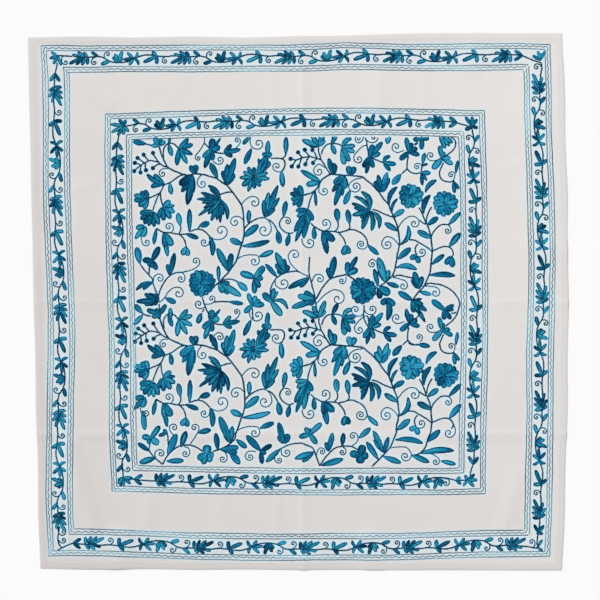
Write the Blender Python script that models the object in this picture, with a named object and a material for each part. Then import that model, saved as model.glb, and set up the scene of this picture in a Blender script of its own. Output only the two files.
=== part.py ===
"""Square cotton table cover, 0.92 m across, laid out flat with its right side up.

One hemmed sheet. The cloth was folded before it was laid out, so low pressed
creases cross it, and a few soft folds are left near its edges. Two square
embroidered borders run round it, each between two raised rails of stitching.
Metres, +Z up. The origin is on the surface that the cloth lies on, under the
middle of the cloth. The far edge in the usual view is the +Y edge.
"""

import math

import bmesh
import bpy

# Places of the four edges, measured from the middle of the cloth.
HALF_WIDTH = 0.463
HALF_LENGTH = 0.460
NEAR_LEFT_X = -0.443
FAR_LEFT_X = -HALF_WIDTH
RIGHT_CORNERS_X = 0.453
NEAR_LEFT_Y = -0.4585
FAR_LEFT_Y = 0.4540
EDGE_WAVE = 0.0008
EDGE_WAVES = 5

# The far edge steps out by 6 mm between these shares of the width.
STEP_FROM = 0.42
STEP_TO = 0.80

CLOTH_THICKNESS = 0.0012
HEM_WIDTH = 0.011
HEM_RELIEF = 0.0006
HEM_SHOULDER = 0.003
CLOTH_EDGE = {"left": 0.0, "right": 0.0, "near": 0.0, "far": 0.0}

# The two embroidered borders, as insets of each one's outer line from the cloth's edges.
# Each border is edged by two raised rails of close stitching.
BORDERS = [
    {"left": 0.0220, "right": 0.0225, "near": 0.0205, "far": 0.0180, "width": 0.046},
    {"left": 0.1305, "right": 0.1400, "near": 0.1325, "far": 0.1305, "width": 0.045},
]
RAIL_WIDTH = 0.0093
RAIL_RELIEF = 0.0006

GRID_STEP = 0.025
CREASE_SHOULDER = 0.007

# Pressed creases right across the cloth: direction, place, half width, height.
ACROSS = "across"
DOWN = "down"
CREASES = [
    {"runs": ACROSS, "at": -0.229, "half_width": 0.013, "height": 0.0013},
    {"runs": ACROSS, "at": -0.004, "half_width": 0.013, "height": 0.0009},
    {"runs": DOWN, "at": 0.010, "half_width": 0.013, "height": 0.0012},
]

# Soft folds: the ends of each ridge's line, its half width and its height.
FOLDS = [
    {"start": (-0.390, -0.245), "end": (-0.352, -0.385), "half_width": 0.024, "height": 0.0026},
    {"start": (-0.374, 0.385), "end": (-0.322, 0.338), "half_width": 0.022, "height": 0.0014},
    {"start": (0.376, -0.300), "end": (0.352, -0.385), "half_width": 0.026, "height": 0.0016},
    {"start": (-0.259, -0.352), "end": (-0.262, -0.392), "half_width": 0.024, "height": 0.0013},
    {"start": (-0.134, -0.350), "end": (-0.128, -0.392), "half_width": 0.022, "height": 0.0010},
    {"start": (0.140, 0.392), "end": (0.140, 0.338), "half_width": 0.022, "height": 0.0010},
    {"start": (0.400, 0.100), "end": (0.462, 0.085), "half_width": 0.036, "height": 0.0016},
    {"start": (-0.400, 0.060), "end": (-0.460, 0.075), "half_width": 0.036, "height": 0.0016},
    {"start": (0.120, -0.405), "end": (0.130, -0.460), "half_width": 0.034, "height": 0.0015},
    {"start": (-0.300, -0.405), "end": (-0.310, -0.460), "half_width": 0.034, "height": 0.0017},
    {"start": (0.300, 0.405), "end": (0.310, 0.460), "half_width": 0.034, "height": 0.0014},
]

COTTON_COLOUR = (0.74, 0.70, 0.67, 1.0)
COTTON_ROUGHNESS = 0.9


def clear_scene():
    for item in list(bpy.data.objects):
        bpy.data.objects.remove(item)


def smooth_step(value):
    value = min(max(value, 0.0), 1.0)
    return value * value * (3 - 2 * value)


def inward_wave(share):
    """How far an edge wavers inwards at a share of its length: none at its middle."""
    return EDGE_WAVE * (1 - math.cos(2 * math.pi * EDGE_WAVES * (share - 0.5)))


def left_edge(share):
    return NEAR_LEFT_X + (FAR_LEFT_X - NEAR_LEFT_X) * share + inward_wave(share) * (1 - share)


def right_edge(share):
    bow = (HALF_WIDTH - RIGHT_CORNERS_X) * math.sin(math.pi * share)
    return RIGHT_CORNERS_X + bow - inward_wave(share)


def near_edge(share):
    return NEAR_LEFT_Y - (HALF_LENGTH + NEAR_LEFT_Y) * share + inward_wave(share) * (1 - share)


def far_edge(share):
    step = smooth_step((share - STEP_FROM) / (STEP_TO - STEP_FROM))
    return FAR_LEFT_Y + (HALF_LENGTH - FAR_LEFT_Y) * step - inward_wave(share) * (1 - step)


def place_on_table(across, along):
    """The place on the table of a point given as shares of the cloth's width and length."""
    x = (1 - across) * left_edge(along) + across * right_edge(along)
    y = (1 - along) * near_edge(across) + along * far_edge(across)
    return x, y


def ridge(distance, half_width):
    """A rounded ridge's height, 1 on its line and 0 past its half width."""
    if distance >= half_width:
        return 0.0
    return math.cos(math.pi / 2 * distance / half_width) ** 2


def distance_to_line(x, y, start, end):
    run_x, run_y = end[0] - start[0], end[1] - start[1]
    share = ((x - start[0]) * run_x + (y - start[1]) * run_y) / (run_x ** 2 + run_y ** 2)
    share = min(max(share, 0.0), 1.0)
    return math.hypot(x - start[0] - share * run_x, y - start[1] - share * run_y)


def lift(x, y):
    """How far the cloth stands off the table at a place. It is 0 wherever it lies flat."""
    rises = [0.0]
    for crease in CREASES:
        across = y if crease["runs"] == ACROSS else x
        distance = abs(across - crease["at"])
        rises.append(crease["height"] * ridge(distance, crease["half_width"]))
    for fold in FOLDS:
        distance = distance_to_line(x, y, fold["start"], fold["end"])
        rises.append(fold["height"] * ridge(distance, fold["half_width"]))
    return max(rises)


def inset_from(across, along, frame):
    """How far inside a frame a point lies, where the frame is set in from the cloth's four edges."""
    return min(
        across * 2 * HALF_WIDTH - frame["left"],
        (1 - across) * 2 * HALF_WIDTH - frame["right"],
        along * 2 * HALF_LENGTH - frame["near"],
        (1 - along) * 2 * HALF_LENGTH - frame["far"],
    )


def hem_rise(across, along):
    """The turned hem's extra layer: full height out to the edge, none inside its fold."""
    from_edge = inset_from(across, along, CLOTH_EDGE)
    return HEM_RELIEF * (1 - smooth_step((from_edge - HEM_WIDTH) / HEM_SHOULDER))


def rail_starts(border):
    """The insets, from a border's outer line, where its outer and inner rails start."""
    return 0.0, border["width"] - RAIL_WIDTH


def rail_rise(across, along):
    """The close stitching of the rails, rounded across each rail."""
    rise = 0.0
    for border in BORDERS:
        inset = inset_from(across, along, border)
        for start in rail_starts(border):
            from_middle = abs(inset - start - RAIL_WIDTH / 2)
            rise = max(rise, RAIL_RELIEF * ridge(from_middle, RAIL_WIDTH / 2))
    return rise


def rail_marks(low_side, high_side, size):
    """Where the rails' edges and crests cross one direction of the cloth."""
    marks = []
    for border in BORDERS:
        for start in rail_starts(border):
            for part in (0.0, RAIL_WIDTH / 2, RAIL_WIDTH):
                marks.append(border[low_side] + start + part)
                marks.append(size - border[high_side] - start - part)
    return marks


def grid_lines(half_size, runs, low_side, high_side):
    """Shares of the cloth's size where the mesh has a line: hem, rails, creases and evenly between."""
    size = 2 * half_size
    marks = [0.0, HEM_WIDTH, HEM_WIDTH + HEM_SHOULDER]
    marks += [size - mark for mark in marks]
    marks += rail_marks(low_side, high_side, size)
    for crease in CREASES:
        if crease["runs"] == runs:
            middle = crease["at"] + half_size
            marks += [middle - CREASE_SHOULDER, middle, middle + CREASE_SHOULDER]
    marks.sort()
    lines = []
    for start, end in zip(marks, marks[1:]):
        parts = max(1, math.ceil((end - start) / GRID_STEP))
        lines += [start + (end - start) * part / parts for part in range(parts)]
    lines.append(size)
    return [line / size for line in lines]


def cotton_material():
    material = bpy.data.materials.new("undyed cotton")
    material.use_nodes = True
    shader = material.node_tree.nodes["Principled BSDF"]
    shader.inputs["Base Color"].default_value = COTTON_COLOUR
    shader.inputs["Roughness"].default_value = COTTON_ROUGHNESS
    shader.inputs["Metallic"].default_value = 0.0
    return material


def make_cloth():
    """The whole cloth as one solid: its underside follows the folds, and its top adds the thickness and the hem."""
    across_lines = grid_lines(HALF_WIDTH, DOWN, "left", "right")
    along_lines = grid_lines(HALF_LENGTH, ACROSS, "near", "far")
    columns, rows = len(across_lines) - 1, len(along_lines) - 1
    shape = bmesh.new()
    bmesh.ops.create_grid(shape, x_segments=columns, y_segments=rows, size=0.5)
    shares = {}
    for point in shape.verts:
        across = across_lines[round((point.co.x + 0.5) * columns)]
        along = along_lines[round((point.co.y + 0.5) * rows)]
        shares[point] = (across, along)
    for point, (across, along) in shares.items():
        x, y = place_on_table(across, along)
        point.co = (x, y, lift(x, y))
    raised = bmesh.ops.extrude_face_region(shape, geom=shape.faces[:], use_keep_orig=True)
    below = {(point.co.x, point.co.y): share for point, share in shares.items()}
    for part in raised["geom"]:
        if isinstance(part, bmesh.types.BMVert):
            across, along = below[(part.co.x, part.co.y)]
            part.co.z += CLOTH_THICKNESS + hem_rise(across, along) + rail_rise(across, along)
    bmesh.ops.recalc_face_normals(shape, faces=shape.faces[:])
    bmesh.ops.triangulate(shape, faces=shape.faces[:])
    mesh = bpy.data.meshes.new("cloth")
    shape.to_mesh(mesh)
    shape.free()
    mesh.shade_smooth()
    mesh.set_sharp_from_angle(angle=math.radians(40))
    mesh.materials.append(cotton_material())
    cloth = bpy.data.objects.new("cloth", mesh)
    bpy.context.scene.collection.objects.link(cloth)
    return cloth


clear_scene()
make_cloth()
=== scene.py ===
"""Embroidered cotton table cover, 0.92 m across, laid out flat with its right side up.

The cloth is one thin hemmed sheet with low pressed creases. Everything sewn on it is
chain stitch: every link is modelled, in rows that outline and fill the leaves, petals,
stems and curls. Two bordered bands run round the cloth, each between two triple rails.
Metres, +Z up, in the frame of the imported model. Charts of the needlework are in
millimetres from the middle of the cloth, +Y towards the far edge.
"""

import math
from functools import partial

import bmesh
import bpy
import numpy as np
from mathutils import Matrix, Vector


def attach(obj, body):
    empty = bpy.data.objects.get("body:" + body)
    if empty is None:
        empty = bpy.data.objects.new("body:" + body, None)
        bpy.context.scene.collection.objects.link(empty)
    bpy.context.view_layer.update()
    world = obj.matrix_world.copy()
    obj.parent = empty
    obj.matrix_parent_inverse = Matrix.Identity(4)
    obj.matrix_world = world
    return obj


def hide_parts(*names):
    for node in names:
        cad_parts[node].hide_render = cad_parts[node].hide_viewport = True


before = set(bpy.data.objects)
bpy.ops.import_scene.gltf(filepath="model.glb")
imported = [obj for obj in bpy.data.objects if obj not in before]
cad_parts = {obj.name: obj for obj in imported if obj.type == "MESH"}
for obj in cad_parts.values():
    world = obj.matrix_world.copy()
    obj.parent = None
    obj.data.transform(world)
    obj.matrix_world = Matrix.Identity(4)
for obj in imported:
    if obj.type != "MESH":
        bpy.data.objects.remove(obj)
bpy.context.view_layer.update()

MM = 0.001
BODY = "root"

# Places of the cloth's four edges, measured from its middle.
HALF_WIDTH = 0.463
HALF_LENGTH = 0.460
NEAR_LEFT_X = -0.443
FAR_LEFT_X = -HALF_WIDTH
RIGHT_CORNERS_X = 0.453
NEAR_LEFT_Y = -0.4585
FAR_LEFT_Y = 0.4540
EDGE_WAVE = 0.0008
EDGE_WAVES = 5

# The far edge steps out by 6 mm between these shares of the width.
STEP_FROM = 0.42
STEP_TO = 0.80

CLOTH_THICKNESS = 0.0010
HEM_WIDTH = 0.011
HEM_RELIEF = 0.0006
HEM_SHOULDER = 0.003
HEM_FOLD = 0.0014
EDGE_ROUNDING = 0.0004
EDGE_ROUNDING_WIDTH = 0.0012
GRID_STEP = 0.0052

# The edge is a little darker this far in.
RIM_WIDTH = 0.034

# Puckers that the hem's stitches pull: their height, their radians over the cloth's whole width or
# length, and how far in from the edge they reach.
PUCKER_HEIGHT = 0.00010
PUCKER_RATE = 1150
PUCKER_REACH = 0.013

# The two embroidered bands. A band's own measures are in millimetres: the straight middle lines of
# its four sides, how far outwards the sewn middle really lies at even steps along each side, and
# where the leafy sprays stand along it. Sides run clockwise from their first corner. "first" is
# where the first repeat is taken up; "closing" is how far past the last one's start the forked
# sprig stands, then how far along past the corner and outwards the vine ends.
OUTER_BAND = {
    "left": -418.0, "right": 417.5, "near": -416.5, "far": 416.0, "step": 50.0,
    "wander": {
        "far": (-0.4, -0.8, 0.0, 0.0, 0.1, 0.3, 0.6, 1.1, 0.5, 2.0, 4.7, 3.4, 2.0, 1.9, 2.4, 3.0, 3.8,
                1.5),
        "right": (-8.4, -6.8, -6.8, -5.0, -2.9, -1.5, -0.5, 0.4, -0.4, -1.3, -3.0, -3.4, -3.0, -3.8, -4.8,
                  -5.6, -6.8, -9.0),
        "near": (-2.8, -2.1, -1.4, 0.2, 1.8, 3.1, 3.5, 3.5, 4.0, 4.3, 3.7, 3.0, 2.6, 0.4, -2.0, -3.7,
                 -4.2, -3.0),
        "left": (-13.0, -9.9, -8.8, -9.5, -10.3, -10.8, -12.3, -12.8, -12.3, -10.5, -8.4, -6.3, -4.4, -3.9,
                 -4.3, -4.3, -3.4, -0.5),
    },
    "sprays": {
        "far": (43, 217, 395, 580, 767), "right": (43, 223, 401, 585, 772),
        "near": (45, 222, 398, 579, 767), "left": (39, 214, 395, 579, 769),
    },
    "first": {"far": -5, "right": -5, "near": -5, "left": -5},
    "closing": {"far": (51, -1, -9.5), "right": (56, 0, 0), "near": (52, -6, 13), "left": (54, -7, -3.5)},
}
INNER_BAND = {
    "left": -310.0, "right": 300.5, "near": -305.0, "far": 304.0, "step": 50.0,
    "wander": {
        "far": (-5.0, -2.7, -1.4, 0.0, 1.7, 3.0, 3.8, 4.0, 4.5, 4.4, 3.5, 1.9, 0.3),
        "right": (-3.8, -1.8, 0.1, 0.6, 1.0, 0.8, 2.0, 1.8, 1.1, -0.1, -1.2, -1.8, -2.3),
        "near": (1.6, 3.4, 3.4, 3.2, 3.3, 3.6, 3.4, 2.9, 2.2, 1.3, 0.1, -1.0, -2.6),
        "left": (-13.4, -10.7, -9.4, -9.4, -9.7, -8.8, -7.0, -5.8, -3.7, -3.0, -2.5, -2.1, -2.2),
    },
    "sprays": {
        "far": (6, 181, 363, 544), "right": (-3, 175, 361, 544),
        "near": (-6, 167, 345, 529), "left": (-8, 168, 354, 539),
    },
    "first": {"far": 34, "right": 34, "near": 69, "left": 34},
    "closing": {
        "far": (54, -10, -3), "right": (55, -8, -3.5), "near": (68, -20, 0.5), "left": (55, -12, -1),
    },
}
SIDES = ("far", "right", "near", "left")

# A border's repeat: its length, how far before its leafy spray it starts and where the spray ends.
BORDER_REPEAT = 176.0
SPRAY_LEAD = 16
SPRAY_END = 33

# The field's two rows: how far the near one lies from the far one, where each is cut off at its
# rail, and where in its own chart the near one gives way to the foot that is charted by itself.
ROW_DISTANCE = -293.0
FIELD_LOW = -283.5
FIELD_HIGH = 281.5
FOOT_BEGINS = 66.0

# A rail's three rows of stitching, by how far each lies from the middle of its band.
BAND_HALF_WIDTH = 22.5
RAIL_ROWS = (0.0, 4.2, 8.4)
RAIL_WAVE = 1.05
RAIL_WAVE_LENGTH = 11.6

# Pressed creases right across the cloth: direction, place, half width, height.
ACROSS = "across"
DOWN = "down"
CREASES = [
    {"runs": ACROSS, "at": -0.229, "half_width": 0.013, "height": 0.0013},
    {"runs": ACROSS, "at": -0.004, "half_width": 0.013, "height": 0.0009},
    {"runs": DOWN, "at": 0.010, "half_width": 0.013, "height": 0.0012},
]

# Half the width of the darker line of painted shade that runs along each crease's top.
CREASE_SHADE_HALF_WIDTH = 0.0018

# Soft folds and small wrinkles: the ends of each ridge's line, its half width and its height.
FOLDS = [
    {"start": (-0.390, -0.245), "end": (-0.352, -0.385), "half_width": 0.024, "height": 0.0026},
    {"start": (-0.374, 0.385), "end": (-0.322, 0.338), "half_width": 0.022, "height": 0.0014},
    {"start": (0.376, -0.300), "end": (0.352, -0.385), "half_width": 0.026, "height": 0.0016},
    {"start": (-0.259, -0.352), "end": (-0.262, -0.392), "half_width": 0.024, "height": 0.0013},
    {"start": (-0.134, -0.350), "end": (-0.128, -0.392), "half_width": 0.022, "height": 0.0010},
    {"start": (0.140, 0.392), "end": (0.140, 0.338), "half_width": 0.022, "height": 0.0010},
    {"start": (0.400, 0.100), "end": (0.462, 0.085), "half_width": 0.036, "height": 0.0016},
    {"start": (-0.400, 0.060), "end": (-0.460, 0.075), "half_width": 0.036, "height": 0.0016},
    {"start": (0.120, -0.405), "end": (0.130, -0.460), "half_width": 0.034, "height": 0.0015},
    {"start": (-0.300, -0.405), "end": (-0.310, -0.460), "half_width": 0.034, "height": 0.0017},
    {"start": (0.300, 0.405), "end": (0.310, 0.460), "half_width": 0.034, "height": 0.0014},
]
WRINKLES = [
    {"start": (-0.392, 0.388), "end": (-0.330, 0.330), "half_width": 0.008, "height": 0.0009},
    {"start": (-0.372, 0.392), "end": (-0.352, 0.352), "half_width": 0.007, "height": 0.0007},
    {"start": (-0.048, 0.392), "end": (-0.044, 0.330), "half_width": 0.009, "height": 0.0005},
    {"start": (0.048, 0.392), "end": (0.052, 0.330), "half_width": 0.009, "height": 0.0004},
    {"start": (0.217, 0.394), "end": (0.214, 0.332), "half_width": 0.010, "height": 0.0005},
    {"start": (-0.034, -0.332), "end": (-0.037, -0.392), "half_width": 0.009, "height": 0.0008},
    {"start": (0.366, -0.318), "end": (0.388, -0.352), "half_width": 0.007, "height": 0.0008},
    {"start": (0.352, -0.330), "end": (0.372, -0.372), "half_width": 0.007, "height": 0.0007},
    {"start": (0.344, -0.352), "end": (0.356, -0.388), "half_width": 0.006, "height": 0.0006},
    {"start": (-0.392, -0.262), "end": (-0.376, -0.332), "half_width": 0.009, "height": 0.0010},
    {"start": (0.386, 0.240), "end": (0.346, 0.226), "half_width": 0.010, "height": 0.0006},
    {"start": (-0.388, 0.190), "end": (-0.346, 0.204), "half_width": 0.010, "height": 0.0006},
    {"start": (0.388, -0.120), "end": (0.350, -0.108), "half_width": 0.010, "height": 0.0006},
]

# Chain stitch, in millimetres: one link's pitch, width and height, and the gap between rows.
LINK_PITCH = 3.3
CURL_PITCH = 2.5
LINK_WIDTH = 3.0
LINK_RELIEF = 0.80
ROW_GAP = 2.0
PETAL_FULLNESS = 1.10
STEM_WIDTH = 3.3
MAIN_STEM_WIDTH = 3.7
CURL_WIDTH = 2.35
RAIL_THREAD = 2.1
RAIL_PITCH = 3.1
RAIL_RELIEF = 0.6

# How unevenly the links lie: each one's step aside, and the shares that its width and height vary by.
LINK_STRAY = 0.11
WIDTH_PLAY = 0.06
HEIGHT_PLAY = 0.08

# The underlay, in millimetres: how far in from a petal's edge it stays, its least half width, and
# the lowest and highest that a patch of it lies over the cloth.
UNDERLAY_INSET = 0.9
UNDERLAY_LEAST = 0.05
UNDERLAY_HEIGHT = (0.12, 0.30)

# The hem's running stitch, in millimetres, and the share of its pitch that shows as thread.
HEM_PITCH = 4.2
HEM_THREAD = 0.9
HEM_RELIEF_OF_THREAD = 0.35
HEM_STITCH_SHARE = 0.62
HEM_STITCH_INSET = 0.0016

# Shades of the variegated thread, from 0, near black, to 1, light turquoise.
OUTLINE_SHADE = 0.35
FILL_SHADE = 0.71
STEM_SHADE = 0.24
BERRY_SHADE = 0.26
RAIL_SHADE = 0.48
RAIL_PATCHES = 0.23

# How much a petal's shade may change from its base to its tip, and the borders' share of that.
PETAL_TILT = (-0.36, 0.24)
BORDER_TILT = 1.5

# How far the petals of one motif stray from each other's shade, in the field and in the borders,
# and how much lighter and more teal the borders are.
FIELD_PLAY = 0.11
BORDER_PLAY = 0.36
BORDER_LIGHTER = 0.12
BORDER_TEAL = 1.5

# Which way a curl turns as it winds in.
LEFT = 1
RIGHT = -1

chance = np.random.default_rng(41)


def smooth_step(value):
    value = np.clip(value, 0.0, 1.0)
    return value * value * (3 - 2 * value)


def inward_wave(share):
    """How far an edge wavers inwards at a share of its length: none at its middle."""
    return EDGE_WAVE * (1 - np.cos(2 * math.pi * EDGE_WAVES * (share - 0.5)))


def left_edge(share):
    return NEAR_LEFT_X + (FAR_LEFT_X - NEAR_LEFT_X) * share + inward_wave(share) * (1 - share)


def right_edge(share):
    bow = (HALF_WIDTH - RIGHT_CORNERS_X) * np.sin(math.pi * share)
    return RIGHT_CORNERS_X + bow - inward_wave(share)


def near_edge(share):
    return NEAR_LEFT_Y - (HALF_LENGTH + NEAR_LEFT_Y) * share + inward_wave(share) * (1 - share)


def far_edge(share):
    step = smooth_step((share - STEP_FROM) / (STEP_TO - STEP_FROM))
    return FAR_LEFT_Y + (HALF_LENGTH - FAR_LEFT_Y) * step - inward_wave(share) * (1 - step)


def place_on_table(across, along):
    """The place on the table of points given as shares of the cloth's width and length."""
    x = (1 - across) * left_edge(along) + across * right_edge(along)
    y = (1 - along) * near_edge(across) + along * far_edge(across)
    return x, y


def ridge(distance, half_width):
    """A rounded ridge's height, 1 on its line and 0 past its half width."""
    return np.cos(math.pi / 2 * np.minimum(distance / half_width, 1.0)) ** 2


def distance_to_line(x, y, start, end):
    run_x, run_y = end[0] - start[0], end[1] - start[1]
    share = ((x - start[0]) * run_x + (y - start[1]) * run_y) / (run_x ** 2 + run_y ** 2)
    share = np.clip(share, 0.0, 1.0)
    return np.hypot(x - start[0] - share * run_x, y - start[1] - share * run_y)


def lift(x, y):
    """How far the cloth stands off the table: its creases and folds, with fine wrinkles on them."""
    rise = np.zeros_like(x)
    for crease in CREASES:
        across = y if crease["runs"] == ACROSS else x
        rise = np.maximum(rise, crease["height"] * ridge(abs(across - crease["at"]), crease["half_width"]))
    for fold in FOLDS:
        distance = distance_to_line(x, y, fold["start"], fold["end"])
        rise = np.maximum(rise, fold["height"] * ridge(distance, fold["half_width"]))
    for wrinkle in WRINKLES:
        distance = distance_to_line(x, y, wrinkle["start"], wrinkle["end"])
        rise = rise + wrinkle["height"] * ridge(distance, wrinkle["half_width"])
    return rise + slight_unevenness(x, y)


def slight_unevenness(x, y):
    """Soft, shallow waves that a pressed cloth keeps."""
    waves = np.sin(23 * x + 9 * y + 0.4) + np.sin(41 * y - 17 * x + 1.9) + np.sin(67 * x + 31 * y + 3.1)
    return 0.00007 * (3 + waves)


def cloth_top(x, y):
    """The height of the cloth's right side away from its hem."""
    return lift(x, y) + CLOTH_THICKNESS


def smooth_curve(points, step=0.5):
    """A smooth curve through a few points, read off every half millimetre or so."""
    points = np.asarray(points, float)
    if len(points) < 3:
        count = max(2, int(np.hypot(*(points[-1] - points[0])) / step))
        share = np.linspace(0, 1, count)[:, None]
        return points[0] + (points[-1] - points[0]) * share
    padded = np.vstack([2 * points[0] - points[1], points, 2 * points[-1] - points[-2]])
    parts = []
    for before, start, end, after in zip(padded, padded[1:], padded[2:], padded[3:]):
        count = max(2, int(np.hypot(*(end - start)) / step))
        t = np.linspace(0, 1, count, endpoint=False)[:, None]
        bend = 2 * start + (end - before) * t
        bend = bend + (2 * before - 5 * start + 4 * end - after) * t ** 2
        parts.append((bend + (3 * start - before - 3 * end + after) * t ** 3) / 2)
    return np.vstack(parts + [points[-1:]])


def evenly(points, pitch):
    """A row's needle holes: points a stitch apart along a line."""
    steps = np.hypot(*np.diff(points, axis=0).T)
    along = np.concatenate([[0.0], np.cumsum(steps)])
    if along[-1] < pitch * 0.5:
        return np.empty((0, 2))
    count = max(1, round(along[-1] / pitch))
    marks = np.linspace(0, along[-1], count + 1)
    return np.column_stack([np.interp(marks, along, points[:, 0]), np.interp(marks, along, points[:, 1])])


def spiral(centre, start, turning, turns, inner=1.3):
    """Points of a curl that winds in from a start point to near its centre."""
    away = np.asarray(start, float) - centre
    reach, angle = np.hypot(*away), math.atan2(away[1], away[0])
    share = np.linspace(0.04, 1, int(14 * turns))
    radius = reach + (inner - reach) * share ** 0.62
    angle = angle + turning * 2 * math.pi * turns * share
    return np.column_stack([centre[0] + radius * np.cos(angle), centre[1] + radius * np.sin(angle)])


def petal_outline(share, pointed):
    """A petal's half width along its length, as a share of its greatest. Leaves end in a point."""
    falling = np.clip((share - 0.58) / 0.42, 0.0, 1.0)
    if pointed:
        rising = np.sin(math.pi / 2 * np.minimum((share + 0.04) / 0.60, 1.0)) ** 0.75
        return rising * np.cos(math.pi / 2 * falling) ** 0.6
    rising = np.sin(math.pi / 2 * np.minimum((share + 0.14) / 0.70, 1.0)) ** 0.75
    return rising * np.sqrt(np.maximum(1 - falling ** 2.6, 0.0))


class Cover:
    """Which parts of the cloth are already stitched over, in cells of half a millimetre."""

    SIZE = 1880

    def __init__(self):
        self.cells = np.zeros((self.SIZE, self.SIZE), bool)

    def index(self, points):
        found = np.floor(points * 2 + self.SIZE / 2).astype(int)
        return np.clip(found, 1, self.SIZE - 2)

    def taken(self, points):
        cells = self.index(points)
        return self.cells[cells[:, 0], cells[:, 1]]

    def closeness(self, points, reach=9):
        """How much of the cloth round each point is stitched over, from 0 to 1."""
        total = np.pad(self.cells.astype(float).cumsum(0).cumsum(1), ((1, 0), (1, 0)))
        cells = np.clip(self.index(points), reach, self.SIZE - reach - 1)
        low, high = cells - reach, cells + reach + 1
        share = total[high[:, 0], high[:, 1]] - total[low[:, 0], high[:, 1]]
        share = share - total[high[:, 0], low[:, 1]] + total[low[:, 0], low[:, 1]]
        return share / (2 * reach + 1) ** 2

    def mark(self, points):
        cells = self.index(points)
        for across in (-1, 0, 1):
            for along in (-1, 0, 1):
                self.cells[cells[:, 0] + across, cells[:, 1] + along] = True


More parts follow.
